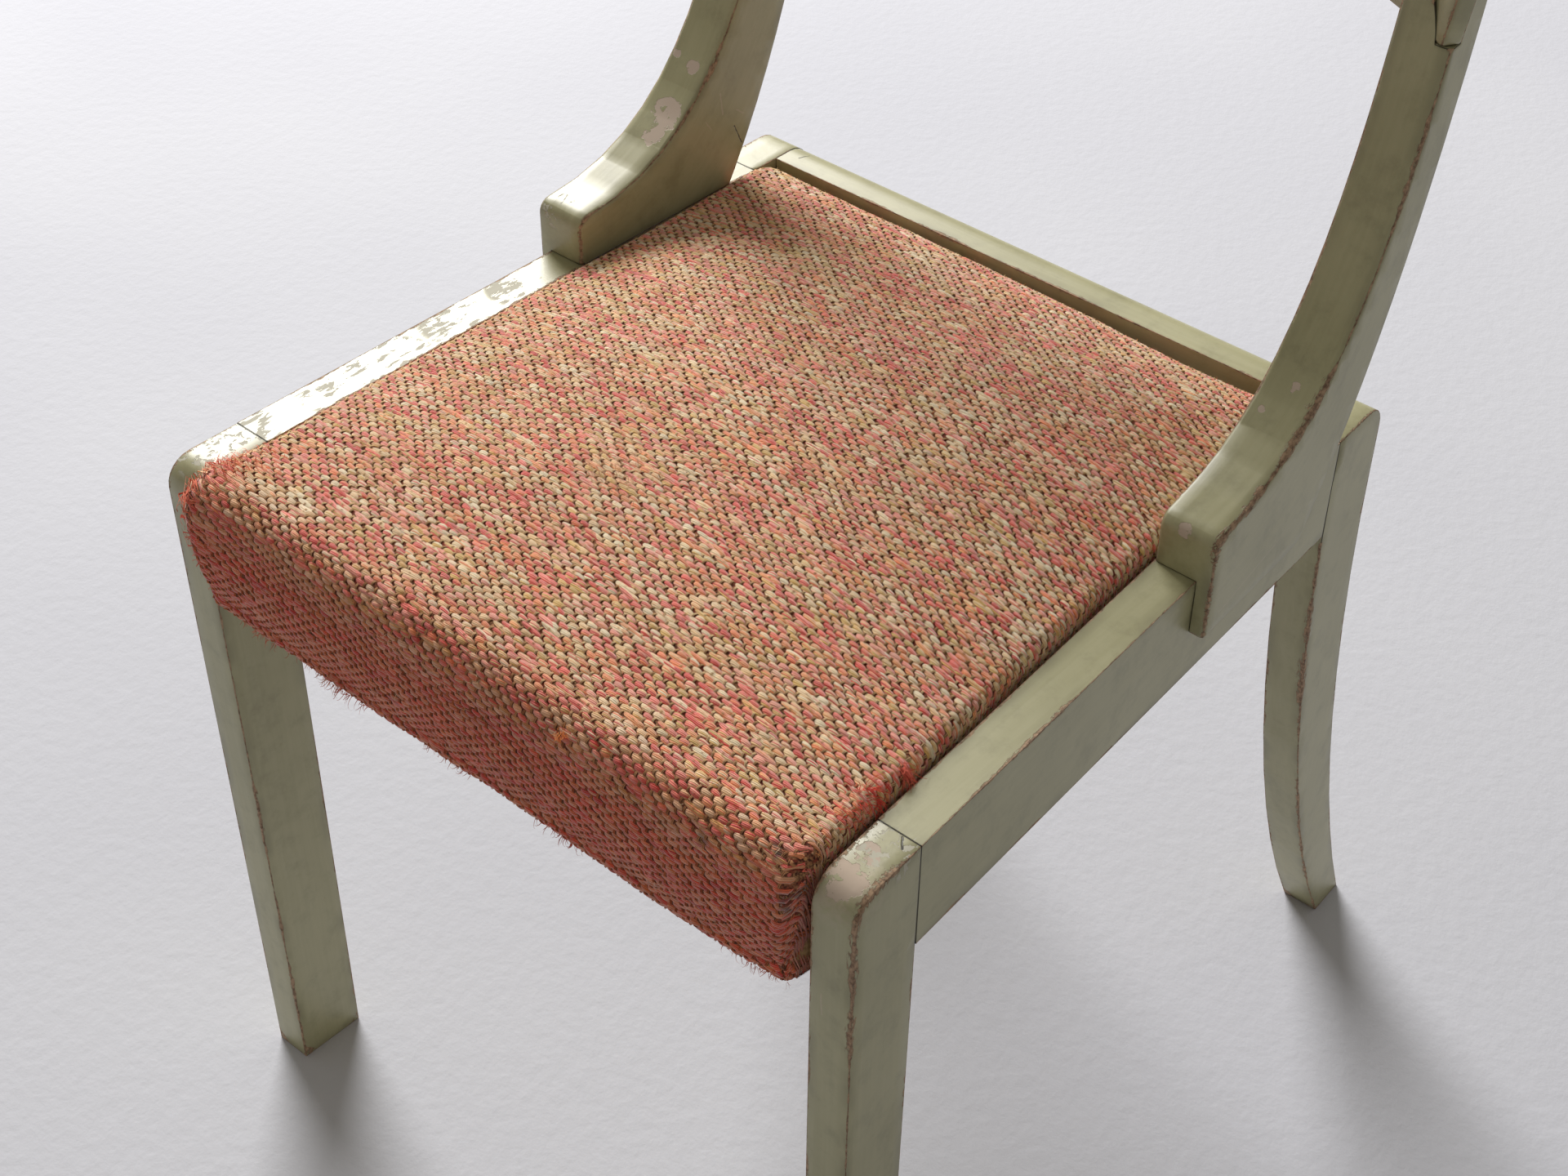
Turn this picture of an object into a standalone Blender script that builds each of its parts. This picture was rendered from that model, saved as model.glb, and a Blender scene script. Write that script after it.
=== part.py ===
# Side chair with sabre rear legs, curved back posts, a bent crest board and a loose woven seat.
# Metres, +Z up, the front faces -Y. Y is first measured from the front face of the front legs,
# and every object is then moved so that the origin lies on the floor under the middle of the chair.

import math

import bmesh
import bpy
from mathutils import Vector

for old in list(bpy.data.objects):
    bpy.data.objects.remove(old)

# Clearances
GAP = 0.0003  # glued and resting faces
TENON_GAP = 0.0003  # round a tenon in its mortise

# Side frames: legs and side rail, flush in one splayed plane
SEAT_HEIGHT = 0.440  # top of the rails and legs
HALF_FRONT = 0.2178  # half the width over the front legs
SPLAY = 0.0355  # each side comes in by this much per metre of depth
BOARD = 0.0232  # thickness of legs and side rails
RAIL_HEIGHT = 0.0607
FRONT_LEG_DEPTH = 0.0440
FRONT_FOOT_DEPTH = 0.0406
LEG_CORNER = 0.015  # rounded top corner of the legs
REAR_LEG_FRONT = 0.3920  # seam between side rail and rear leg
REAR_LEG_DEPTH = 0.0455
SABRE_FRONT_RADIUS = 0.860
SABRE_FRONT_DROP = 0.024  # below the legs' top, where the front edge begins to sweep back
SABRE_REAR_RADIUS = 0.955
SABRE_REAR_DROP = 0.036

# Worn rounding of the long edges
LEG_EASE = 0.0016
RAIL_EASE = 0.0008
POST_EASE = 0.0024
CREST_EASE = 0.0020
EASE_FROM = math.radians(40)  # flatter edges stay as they are

# Tenons
TENON_THICK = 0.008
TENON_INSET = 0.0085  # from the inner face of the side frame
TENON_SHOULDER = 0.009  # above and below a tenon
SIDE_TENON = 0.020  # length
CROSS_TENON = 0.0065  # length

# Cross rails
CROSS_THICK = 0.0222
FRONT_RAIL_INSET = 0.0060  # its back, from the back of the legs
CROSS_RAIL_DROP = 0.028  # the front rail's top below the side rails', to carry the seat
BACK_RAIL_SETBACK = 0.0176  # from the seam of the rear legs
BACK_RAIL_THICK = 0.0274

# Back posts
POST_REACH = 0.1355  # how far the foot reaches forward of the rear leg
POST_FOOT_HEIGHT = 0.0290  # above the rail, at the toe
POST_LAP = 0.0085  # how far the foot stands out past the rail, at its front
POST_LAP_TAPER = 0.010  # and how fast that closes towards the back
POST_LAP_DEPTH = 0.032  # how far the foot laps down the rail
POST_LAP_LENGTH = 0.0945
POST_TOE = 0.008  # rounded top corner of the foot
POST_HEEL_RADIUS = 0.010
POST_HEEL_ANGLE = 55.4
POST_RUN = 0.1611  # from the toe back to the knee, where the post runs on straight
POST_RISE = 0.2280  # from the rail's top up to the knee
POST_KNEE_ANGLE = 78.0
POST_KNEE_DEPTH = 0.0290
POST_CURL = 0.100  # handle length of both curves at the foot
POST_BEND = 0.092  # and at the knee
POST_BACK_SLANT = 0.0060  # the post's inner face runs back by this much past its outer face

# Crest: a thin bent board, housed diagonally in the tops of the posts
CREST_CLEAR = 0.2085  # above the rails
CREST_HEIGHT = 0.1250
CREST_THICK = 0.0108
CREST_PROUD = 0.0052  # its ends, past the side frames
CREST_SET = 0.0021  # its middle line at the ends, behind the posts' front edge
CREST_END_ANGLE = 34.0  # direction of the board's ends, from straight across
CREST_LEAN = 0.10
CREST_FLARE = 0.15  # how fast its ends run outwards as they go up
HOUSING_PAST = 0.0232  # the slot runs this far on past the board's ends, out of the posts

# The tongue of each post, in front of the crest. Its edge curves in from the post's outer face.
TONGUE_START = 0.0082  # from the outer face, at the crest's lower edge
TONGUE_SLOPE = 0.25
TONGUE_CURVE = 6.3  # per metre
TONGUE_DEPTH = 0.045  # the cut starts this far in front of the crest

# Loose seat
SEAT_SIDE_GAP = 0.0006
SEAT_BACK_GAP = 0.0045
SEAT_BULGE = 0.0095  # how far the front stands proud of the legs
SEAT_DROP = 0.0680  # lower edge of the front, below the rails' top
SEAT_STAND = 0.0080  # where the top begins to crown, above the rails
SEAT_CROWN = 0.0170
CROWN_POWER = 2.4  # higher is flatter in the middle
SEAT_ROUND = 0.0120  # rounding between top and walls
SEAT_CORNER = 0.0150  # rounding of the corners in plan
SEAT_BARREL = 0.0035  # how far the walls draw in at their lower edge
COVER_THICK = 0.0025
RIDGE_PITCH = 0.0062  # one weft bundle
RIDGE_HEIGHT = 0.0009
FRAME_THICK = 0.0177
FRAME_WIDTH = 0.0380
FRAME_CHAMFER = 0.0110
FRAME_LIFT = 0.0024  # front bar's lower edge, above the cover's
STRAP_WIDTH = 0.050
STRAP_THICK = 0.0012
LONG_STRAPS = 4
CROSS_STRAPS = 4
BLOCK_LEG = 0.048  # corner blocks, along the rails
BLOCK_HEIGHT = 0.025

# Facets
CORNER_STEPS = 6
TOE_STEPS = 5
HEEL_STEPS = 4
SABRE_STEPS = 10
SWEEP_STEPS = 14
CREST_STEPS = 28
HOUSING_STEPS = 36
TONGUE_STEPS = 8
EDGE_SHARE = 0.2  # of the way down a wall that is its rounded upper edge
EDGE_STATIONS = [1, 1.06, 1.13, 1.2, 1.5, 2]  # over that edge and down the wall
COVER_COLUMNS = 12
PAD_COLUMNS = 14
HIDDEN_ROWS = [-2, -1.6]  # low on the back wall, behind the rail
RIDGES_FROM = -1.5

# Derived places
RAIL_BOTTOM = SEAT_HEIGHT - RAIL_HEIGHT
BEARER_TOP = SEAT_HEIGHT - CROSS_RAIL_DROP
FRAME_BOTTOM = BEARER_TOP + GAP
FRAME_TOP = FRAME_BOTTOM + FRAME_THICK
STRAP_LOW = FRAME_TOP + GAP
STRAP_HIGH = STRAP_LOW + STRAP_THICK + GAP
PAD_BOTTOM = STRAP_HIGH + STRAP_THICK + GAP
SEAT_BOTTOM = SEAT_HEIGHT - SEAT_DROP
SEAT_EDGE = SEAT_HEIGHT + SEAT_STAND
FRONT_RAIL_BACK = FRONT_LEG_DEPTH - FRONT_RAIL_INSET
FRONT_RAIL_FRONT = FRONT_RAIL_BACK - CROSS_THICK
BACK_RAIL_FRONT = REAR_LEG_FRONT + BACK_RAIL_SETBACK
BACK_RAIL_BACK = BACK_RAIL_FRONT + BACK_RAIL_THICK
SEAT_BACK = BACK_RAIL_FRONT - SEAT_BACK_GAP
FRONT_TENON_Y = (FRONT_RAIL_FRONT + FRONT_RAIL_BACK) / 2
BACK_TENON_Y = (BACK_RAIL_FRONT + BACK_RAIL_BACK) / 2
MORTISE_MOUTH = 0.004  # how far a mortise cutter reaches out of its mouth, and a tenon into its rail
FRAME_INSET = COVER_THICK + SEAT_BARREL + GAP
SEAT_FRAME_FRONT = COVER_THICK + 2 * LEG_EASE - SEAT_BULGE
POST_FRONT = REAR_LEG_FRONT - POST_REACH
POST_HEEL = POST_FRONT + POST_LAP_LENGTH
POST_KNEE = Vector((POST_FRONT + POST_RUN, SEAT_HEIGHT + POST_RISE))
POST_LEAN = math.radians(POST_KNEE_ANGLE)
CREST_BOTTOM = SEAT_HEIGHT + CREST_CLEAR
CREST_TOP = CREST_BOTTOM + CREST_HEIGHT
CREST_TURN = math.radians(CREST_END_ANGLE)
CREST_END_Y = POST_KNEE.x - (POST_KNEE.y - CREST_BOTTOM) / math.tan(POST_LEAN) + CREST_SET
CREST_END_X = HALF_FRONT - SPLAY * CREST_END_Y + CREST_PROUD
CREST_RADIUS = CREST_END_X / math.sin(CREST_TURN)
CREST_CENTRE_Y = CREST_END_Y - CREST_RADIUS * math.cos(CREST_TURN)
SABRE_REAR_START = SEAT_HEIGHT - SABRE_REAR_DROP
FOOT_BACK = (
    REAR_LEG_FRONT + REAR_LEG_DEPTH
    + SABRE_REAR_RADIUS - math.sqrt(SABRE_REAR_RADIUS**2 - SABRE_REAR_START**2)
)
CENTRE_Y = (FOOT_BACK - SEAT_BULGE - RIDGE_HEIGHT / 2) / 2


def material(name, colour, roughness):
    made = bpy.data.materials.new(name)
    made.use_nodes = True
    shader = made.node_tree.nodes["Principled BSDF"]
    shader.inputs["Base Color"].default_value = (*colour, 1)
    shader.inputs["Roughness"].default_value = roughness
    made.diffuse_color = (*colour, 1)
    return made


PAINT = material("grey_green_paint", (0.44, 0.45, 0.33), 0.45)
RAW_WOOD = material("bare_beech", (0.46, 0.30, 0.17), 0.7)
WEBBING = material("jute_webbing", (0.36, 0.27, 0.16), 0.9)
STUFFING = material("stuffing", (0.62, 0.56, 0.45), 0.95)
WEAVE = material("woven_wool", (0.52, 0.19, 0.11), 0.95)


def half_width(y):
    """Outer face of a side frame."""
    return HALF_FRONT - SPLAY * y


def inner_face(y):
    """Inner face of the legs and side rails."""
    return half_width(y) - BOARD


def arc(centre, radius, start, end, steps):
    """Points along an arc, with its angles in degrees."""
    turn = [math.radians(start + (end - start) * i / steps) for i in range(steps + 1)]
    return [(centre[0] + radius * math.cos(a), centre[1] + radius * math.sin(a)) for a in turn]


def heading(angle):
    return Vector((math.cos(math.radians(angle)), math.sin(math.radians(angle))))


def bezier(start, start_angle, start_reach, end, end_angle, end_reach, steps):
    """A curve that leaves start and arrives at end along the given angles, in degrees."""
    first = Vector(start)
    last = Vector(end)
    second = first + start_reach * heading(start_angle)
    third = last - end_reach * heading(end_angle)
    points = []
    for i in range(steps + 1):
        t = i / steps
        s = 1 - t
        points.append(tuple(s**3 * first + 3 * s * s * t * second + 3 * s * t * t * third + t**3 * last))
    return points


def prism(near, far):
    """The closed body between two outlines with the same number of points."""
    mesh = bmesh.new()
    a = [mesh.verts.new(p) for p in near]
    b = [mesh.verts.new(p) for p in far]
    mesh.faces.new(a)
    mesh.faces.new(b[::-1])
    for i in range(len(a)):
        mesh.faces.new((a[i - 1], a[i], b[i], b[i - 1]))
    return mesh


def finish(name, mesh, look, is_cutter=False):
    """Makes an object of a bmesh and moves it into the chair's own frame."""
    bmesh.ops.recalc_face_normals(mesh, faces=mesh.faces)
    data = bpy.data.meshes.new(name)
    mesh.to_mesh(data)
    mesh.free()
    obj = bpy.data.objects.new(name, data)
    bpy.context.scene.collection.objects.link(obj)
    obj.location.y = -CENTRE_Y
    if is_cutter:
        obj.hide_render = True
        obj.display_type = "WIRE"
    else:
        data.materials.append(look)
        data.shade_smooth()
        data.set_sharp_from_angle(angle=math.radians(35))
    return obj


def side_plate(name, outline, inner, outer, side, look, is_cutter=False, inner_outline=None):
    """An outline in (y, z) sawn from a board in one side frame. inner and outer say how far
    its faces lie past the frame's outer face, as functions of y."""
    near = [(side * (half_width(y) + inner(y)), y, z) for y, z in inner_outline or outline]
    far = [(side * (half_width(y) + outer(y)), y, z) for y, z in outline]
    return finish(name, prism(near, far), look, is_cutter)


def flat(value):
    """A face that keeps its distance, as a function of y."""
    return lambda y: value


def bar(name, left, right, front, back, bottom, top, look, is_cutter=False):
    """A bar between two side faces, which are functions of y."""
    plan = [(left(front), front), (right(front), front), (right(back), back), (left(back), back)]
    low = [(x, y, bottom) for x, y in plan]
    high = [(x, y, top) for x, y in plan]
    return finish(name, prism(low, high), look, is_cutter)


def ease(obj, width, segments, in_seam=None):
    """Rounds the edges, except those with both ends in a seam, which stay sharp. in_seam is a
    test on a point."""
    mesh = bmesh.new()
    mesh.from_mesh(obj.data)
    weight = mesh.edges.layers.float.new("bevel_weight_edge")
    for edge in mesh.edges:
        sharp = in_seam is not None and all(in_seam(vert.co) for vert in edge.verts)
        edge[weight] = 0 if sharp or edge.calc_face_angle() < EASE_FROM else 1
    mesh.to_mesh(obj.data)
    mesh.free()
    bevel = obj.modifiers.new("Ease", "BEVEL")
    bevel.width = width
    bevel.segments = segments
    bevel.limit_method = "WEIGHT"


def joint(*places):
    """Tests whether a point lies in one of the joints' planes, beside the side rail's ends."""
    return lambda p: p.z > RAIL_BOTTOM - GAP and any(abs(p.y - y) < GAP for y in places)


def boolean(obj, other, operation):
    modifier = obj.modifiers.new(other.name, "BOOLEAN")
    modifier.object = other
    modifier.operation = operation
    modifier.solver = "EXACT"


def side_tenon(name, shoulder, tip, side, grow):
    """Tenon of a side rail, from its shoulder to its tip, grown on every side for its mortise."""
    front = min(shoulder, tip) - grow
    back = max(shoulder, tip) + grow
    low = RAIL_BOTTOM + TENON_SHOULDER - grow
    high = SEAT_HEIGHT - TENON_SHOULDER + grow
    outline = [(front, low), (back, low), (back, high), (front, high)]
    inner = flat(TENON_INSET - grow - BOARD)
    outer = flat(TENON_INSET + TENON_THICK + grow - BOARD)
    return side_plate(name, outline, inner, outer, side, None, True)


def cross_tenon(name, middle, bottom, top, side, grow):
    """Tenon of a front or back rail that goes into a leg's inner face."""
    front = middle - TENON_THICK / 2 - grow
    back = middle + TENON_THICK / 2 + grow
    low = bottom + TENON_SHOULDER - grow
    high = top - TENON_SHOULDER + grow
    outline = [(front, low), (back, low), (back, high), (front, high)]
    inner = flat(-MORTISE_MOUTH - BOARD)
    outer = flat(CROSS_TENON + grow - BOARD)
    return side_plate(name, outline, inner, outer, side, None, True)


def front_leg(side, word):
    """Straight leg, rounded at its top front corner, its back edge tapering to the floor."""
    top = arc((LEG_CORNER, SEAT_HEIGHT - LEG_CORNER), LEG_CORNER, 180, 90, CORNER_STEPS)
    back = [(FRONT_LEG_DEPTH, SEAT_HEIGHT), (FRONT_LEG_DEPTH, RAIL_BOTTOM), (FRONT_FOOT_DEPTH, 0)]
    leg = side_plate(f"front_leg_{word}", [(0, 0), *top, *back], flat(-BOARD), flat(0), side, PAINT)
    ease(leg, LEG_EASE, 2, joint(FRONT_LEG_DEPTH))
    mouth = FRONT_LEG_DEPTH + MORTISE_MOUTH
    tip = FRONT_LEG_DEPTH - SIDE_TENON
    boolean(leg, side_tenon(f"cut_front_mortise_{word}", mouth, tip, side, TENON_GAP), "DIFFERENCE")
    rail = cross_tenon(
        f"cut_front_rail_mortise_{word}", FRONT_TENON_Y, RAIL_BOTTOM, BEARER_TOP, side, TENON_GAP
    )
    boolean(leg, rail, "DIFFERENCE")


def sabre(y, start, radius):
    """Edge of a rear leg that sweeps back below the height start, from the floor up."""
    heights = [start * i / SABRE_STEPS for i in range(SABRE_STEPS + 1)]
    return [(y + radius - math.sqrt(radius**2 - (start - z) ** 2), z) for z in heights]


def rear_leg(side, word):
    """Sabre leg: upright beside the rail, then swept back to the floor."""
    back = REAR_LEG_FRONT + REAR_LEG_DEPTH
    front_edge = sabre(REAR_LEG_FRONT, SEAT_HEIGHT - SABRE_FRONT_DROP, SABRE_FRONT_RADIUS)
    rear_edge = sabre(back, SABRE_REAR_START, SABRE_REAR_RADIUS)
    top = arc((back - LEG_CORNER, SEAT_HEIGHT - LEG_CORNER), LEG_CORNER, 90, 0, CORNER_STEPS)
    outline = [*front_edge, (REAR_LEG_FRONT, SEAT_HEIGHT), *top, *rear_edge[::-1]]
    leg = side_plate(f"rear_leg_{word}", outline, flat(-BOARD), flat(0), side, PAINT)
    ease(leg, LEG_EASE, 2, joint(REAR_LEG_FRONT))
    mouth = REAR_LEG_FRONT - MORTISE_MOUTH
    tip = REAR_LEG_FRONT + SIDE_TENON
    boolean(leg, side_tenon(f"cut_rear_mortise_{word}", mouth, tip, side, TENON_GAP), "DIFFERENCE")
    rail = cross_tenon(
        f"cut_back_rail_mortise_{word}", BACK_TENON_Y, RAIL_BOTTOM, SEAT_HEIGHT, side, TENON_GAP
    )
    boolean(leg, rail, "DIFFERENCE")


def side_rail(side, word):
    """Rail between the legs, flush with them, with a tenon at each end."""
    front = FRONT_LEG_DEPTH + GAP
    back = REAR_LEG_FRONT - GAP
    outline = [(front, RAIL_BOTTOM), (back, RAIL_BOTTOM), (back, SEAT_HEIGHT), (front, SEAT_HEIGHT)]
    rail = side_plate(f"side_rail_{word}", outline, flat(-BOARD), flat(0), side, PAINT)
    ease(rail, RAIL_EASE, 1, joint(front, back))
    for end, shoulder, tip in (
        ("front", front + MORTISE_MOUTH, FRONT_LEG_DEPTH - SIDE_TENON),
        ("rear", back - MORTISE_MOUTH, REAR_LEG_FRONT + SIDE_TENON),
    ):
        boolean(rail, side_tenon(f"add_{end}_tenon_{word}", shoulder, tip, side, 0), "UNION")


def cross_rail(name, front, back, bottom, top, round_back):
    """Rail between two legs. round_back is the radius of its top rear corner, or 0."""
    profile = [(front, bottom), (back, bottom)]
    if round_back:
        profile += arc((back - round_back, top - round_back), round_back, 0, 90, CORNER_STEPS)
    else:
        profile.append((back, top))
    profile.append((front, top))
    left = [(GAP - inner_face(y), y, z) for y, z in profile]
    right = [(inner_face(y) - GAP, y, z) for y, z in profile]
    rail = finish(name, prism(left, right), PAINT)
    ease(rail, RAIL_EASE, 1, lambda p: inner_face(p.y) - abs(p.x) < 2 * GAP)
    for side, word in ((-1, "left"), (1, "right")):
        tenon = cross_tenon(f"add_{name}_tenon_{word}", (front + back) / 2, bottom, top, side, 0)
        boolean(rail, tenon, "UNION")


def crest_plan(offset, start, end, count):
    """Points of the crest's arc in plan, offset towards the back."""
    turn = [start + (end - start) * i / count for i in range(count + 1)]
    radius = CREST_RADIUS + offset
    return [(radius * math.sin(a), CREST_CENTRE_Y + radius * math.cos(a)) for a in turn]


def crest_band(name, ahead, behind, past, bottom, top, count, look, is_cutter=False):
    """The bent board: an arc in plan, pushed up along its lean, with flared ends. ahead and behind
    are measured from its middle line, and past is how far it runs on past the crest's ends."""
    rings = []
    for z in (bottom, top):
        rise = z - CREST_BOTTOM
        reach = CREST_TURN + (past + CREST_FLARE * rise) / CREST_RADIUS
        plan = [*crest_plan(-ahead, -reach, reach, count), *crest_plan(behind, reach, -reach, count)]
        rings.append([(x, y + CREST_LEAN * rise, z) for x, y in plan])
    return finish(name, prism(*rings), look, is_cutter)


def crest():
    """Makes the crest rail, and returns the cutter of the slot that it needs in both posts."""
    half = CREST_THICK / 2
    ease(crest_band("crest_rail", half, half, 0, CREST_BOTTOM, CREST_TOP, CREST_STEPS, PAINT), CREST_EASE, 2)
    return crest_band(
        "cut_crest_housing", half + GAP, half + GAP, HOUSING_PAST,
        CREST_BOTTOM - GAP, CREST_TOP + HOUSING_PAST, HOUSING_STEPS, None, True,
    )


def post_lap(y):
    return POST_LAP - POST_LAP_TAPER * (y - POST_FRONT)


def post_head(knee):
    """Where an edge that runs straight on from the knee reaches the crest's top."""
    return (knee.x + (CREST_TOP - knee.y) / math.tan(POST_LEAN), CREST_TOP)


def back_post(side, word, housing):
    """Curved post: a long foot that sits on the rail and laps down its outer face, then a sweep
    up and back to a slim head, which is slotted for the crest."""
    lap_bottom = SEAT_HEIGHT - POST_LAP_DEPTH
    toe_place = (POST_FRONT + POST_TOE, SEAT_HEIGHT + POST_FOOT_HEIGHT - POST_TOE)
    toe = arc(toe_place, POST_TOE, 180, 92, TOE_STEPS)
    heel_place = (POST_HEEL - POST_HEEL_RADIUS, lap_bottom + POST_HEEL_RADIUS)
    heel = arc(heel_place, POST_HEEL_RADIUS, POST_HEEL_ANGLE - 90, -90, HEEL_STEPS)
    knee_back = POST_KNEE + Vector((POST_KNEE_DEPTH, 0))
    front_edge = bezier(toe[-1], 2, POST_CURL, POST_KNEE, POST_KNEE_ANGLE, POST_BEND, SWEEP_STEPS)
    rear_edge = bezier(
        knee_back, POST_KNEE_ANGLE - 180, POST_BEND,
        heel[0], POST_HEEL_ANGLE - 180, POST_CURL, SWEEP_STEPS,
    )
    before = [(POST_FRONT, lap_bottom), *toe, *front_edge[1:], post_head(POST_KNEE)]
    behind = [post_head(knee_back), *rear_edge]
    slanted = [(y + POST_BACK_SLANT, z) for y, z in behind]
    post = side_plate(
        f"back_post_{word}", [*before, *behind, *heel[1:]], flat(-BOARD), post_lap, side, PAINT,
        inner_outline=[*before, *slanted, *heel[1:]],
    )
    ease(post, POST_EASE, 2)
    front, back = POST_FRONT - BOARD, POST_HEEL + 2 * BOARD
    low, high = lap_bottom - BOARD, SEAT_HEIGHT + GAP
    notch = [(front, low), (back, low), (back, high), (front, high)]
    cutter = side_plate(f"cut_rail_notch_{word}", notch, flat(-2 * BOARD), flat(GAP), side, None, True)
    boolean(post, cutter, "DIFFERENCE")
    boolean(post, housing, "DIFFERENCE")
    boolean(post, tongue_cut(side, word), "DIFFERENCE")


def tongue_cut(side, word):
    """What is pared off a post in front of the crest, so that a curved tongue stays."""
    bottom = CREST_BOTTOM - GAP
    top = CREST_TOP + HOUSING_PAST
    outer = half_width(CREST_END_Y) + post_lap(CREST_END_Y)
    width = BOARD + POST_LAP - TONGUE_START
    full = (math.sqrt(TONGUE_SLOPE**2 + 4 * TONGUE_CURVE * width) - TONGUE_SLOPE) / (2 * TONGUE_CURVE)
    outline = [(outer + BOARD, bottom)]
    for i in range(TONGUE_STEPS + 1):
        rise = full * i / TONGUE_STEPS
        inwards = TONGUE_START + TONGUE_SLOPE * rise + TONGUE_CURVE * rise**2
        outline.append((outer - inwards, bottom + rise))
    outline += [(outer - inwards, top), (outer + BOARD, top)]
    near = [(side * x, CREST_END_Y - TONGUE_DEPTH, z) for x, z in outline]
    far = [(side * x, CREST_END_Y + TONGUE_DEPTH, z) for x, z in outline]
    cutter = finish(f"cut_tongue_{word}", prism(near, far), None, True)
    front = crest_band(
        f"keep_before_crest_{word}", 2 * TONGUE_DEPTH, 0, HOUSING_PAST,
        bottom - GAP, top + GAP, HOUSING_STEPS, None, True,
    )
    boolean(cutter, front, "INTERSECT")
    return cutter


def corner_block(name, y, towards, side):
    """Triangular block glued in a corner, under the seat."""
    reach = y + towards * BLOCK_LEG
    x = inner_face(y) - GAP
    plan = [(side * x, y), (side * (inner_face(reach) - GAP), reach), (side * (x - BLOCK_LEG), y)]
    low = [(*p, BEARER_TOP - BLOCK_HEIGHT) for p in plan]
    high = [(*p, BEARER_TOP) for p in plan]
    ease(finish(name, prism(low, high), RAW_WOOD), RAIL_EASE, 1)


def seat_side(y, inset):
    """Half the width of the seat at y."""
    return inner_face(y) - SEAT_SIDE_GAP - inset


def seat_point(across, along, inset):
    """A point of the seat's surface. across and along run from -1 to 1 over the top, and on to -2
    and 2 down the walls. Along starts at the back. Returns the point and the way out of the seat."""
    down_side = max(abs(across) - 1, 0)
    down_end = max(abs(along) - 1, 0)
    down = max(down_side, down_end)
    s = max(-1, min(1, across))
    t = max(-1, min(1, along))
    rounding = SEAT_ROUND - inset
    corner = SEAT_CORNER - inset
    front = inset - SEAT_BULGE
    back = SEAT_BACK - inset
    # The top's own edge lies inside the walls by the corner radius, so place the edge, then go out.
    y = (front + back) / 2 - t * ((back - front) / 2 - corner)
    x = s * (seat_side(y, inset) - corner)
    crown = SEAT_CROWN * (1 - abs(s) ** CROWN_POWER) * (1 - abs(t) ** CROWN_POWER)
    z = SEAT_EDGE - inset + crown
    if down == 0:
        return Vector((x, y, z)), Vector((0, 0, 1))
    share = min(down_side, down_end) / down
    angle = math.radians(45 * share if down_side >= down_end else 90 - 45 * share)
    out = Vector((math.copysign(math.cos(angle), across), -math.copysign(math.sin(angle), along), 0))
    if down < EDGE_SHARE:
        a = down / EDGE_SHARE * math.pi / 2
        reach = corner - rounding + rounding * math.sin(a)
        place = Vector((x, y, z - rounding * (1 - math.cos(a)))) + out * reach
        return place, (out * math.sin(a) + Vector((0, 0, math.cos(a)))).normalized()
    fall = (down - EDGE_SHARE) / (1 - EDGE_SHARE)
    wall = z - rounding - SEAT_BOTTOM
    reach = corner - SEAT_BARREL * fall**2
    return Vector((x, y, z - rounding - wall * fall)) + out * reach, out


def seat_form(name, inset, columns, rows, ridge, bottom, look, is_cutter=False):
    """A closed crowned form. columns and rows are the steps of across and along, and every
    second row is raised by the ridge, which fades out where it would meet the side rails."""
    mesh = bmesh.new()
    grid = []
    for i, along in enumerate(rows):
        line = []
        for across in columns:
            place, normal = seat_point(across, along, inset)
            if i % 2:
                place += normal * ridge * (1 - normal.x**2)
            if abs(across) == 2 or abs(along) == 2:
                place.z = bottom
            line.append(mesh.verts.new(place))
        grid.append(line)
    for upper, lower in zip(grid, grid[1:]):
        for k in range(len(columns) - 1):
            mesh.faces.new((upper[k], lower[k], lower[k + 1], upper[k + 1]))
    bmesh.ops.holes_fill(mesh, edges=[e for e in mesh.edges if e.is_boundary])
    return finish(name, mesh, look, is_cutter)


def steps(low, high, count):
    """Even steps from low to just before high."""
    return [low + (high - low) * i / count for i in range(count)]


def seat_columns(count):
    """Stations over the seat's width: down one wall, over the top, down the other."""
    walls = [-c for c in EDGE_STATIONS[::-1]]
    return walls + steps(-1, 1, count)[1:] + EDGE_STATIONS


def cover_rows():
    """Stations over the seat's depth, two for each ridge."""
    top = 2 * round((SEAT_BACK + SEAT_BULGE) / RIDGE_PITCH)
    wall = 2 * round((SEAT_EDGE - SEAT_BOTTOM) / RIDGE_PITCH)
    back = HIDDEN_ROWS + steps(RIDGES_FROM, -1, wall // 2)
    return back + steps(-1, 1, top) + steps(1, 2, wall) + [2]


def cut_below(obj, front, top):
    """Takes away what lies behind front and below top."""
    cutter = bar(
        f"cut_{obj.name}_below", flat(-HALF_FRONT), flat(HALF_FRONT), front, BACK_RAIL_BACK,
        SEAT_BOTTOM - BOARD, top, None, True,
    )
    boolean(obj, cutter, "DIFFERENCE")


def seat_cover():
    """The woven cover, a skin that runs down the front and is tacked under the frame elsewhere."""
    columns = seat_columns(COVER_COLUMNS)
    cover = seat_form("seat_cover", 0, columns, cover_rows(), RIDGE_HEIGHT, SEAT_BOTTOM, WEAVE)
    plain = seat_columns(PAD_COLUMNS)
    inside = seat_form("cut_cover_inside", COVER_THICK, plain, plain, 0, SEAT_BOTTOM - BOARD, None, True)
    boolean(cover, inside, "DIFFERENCE")
    cut_below(cover, FRONT_RAIL_FRONT - GAP, FRAME_BOTTOM)


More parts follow.
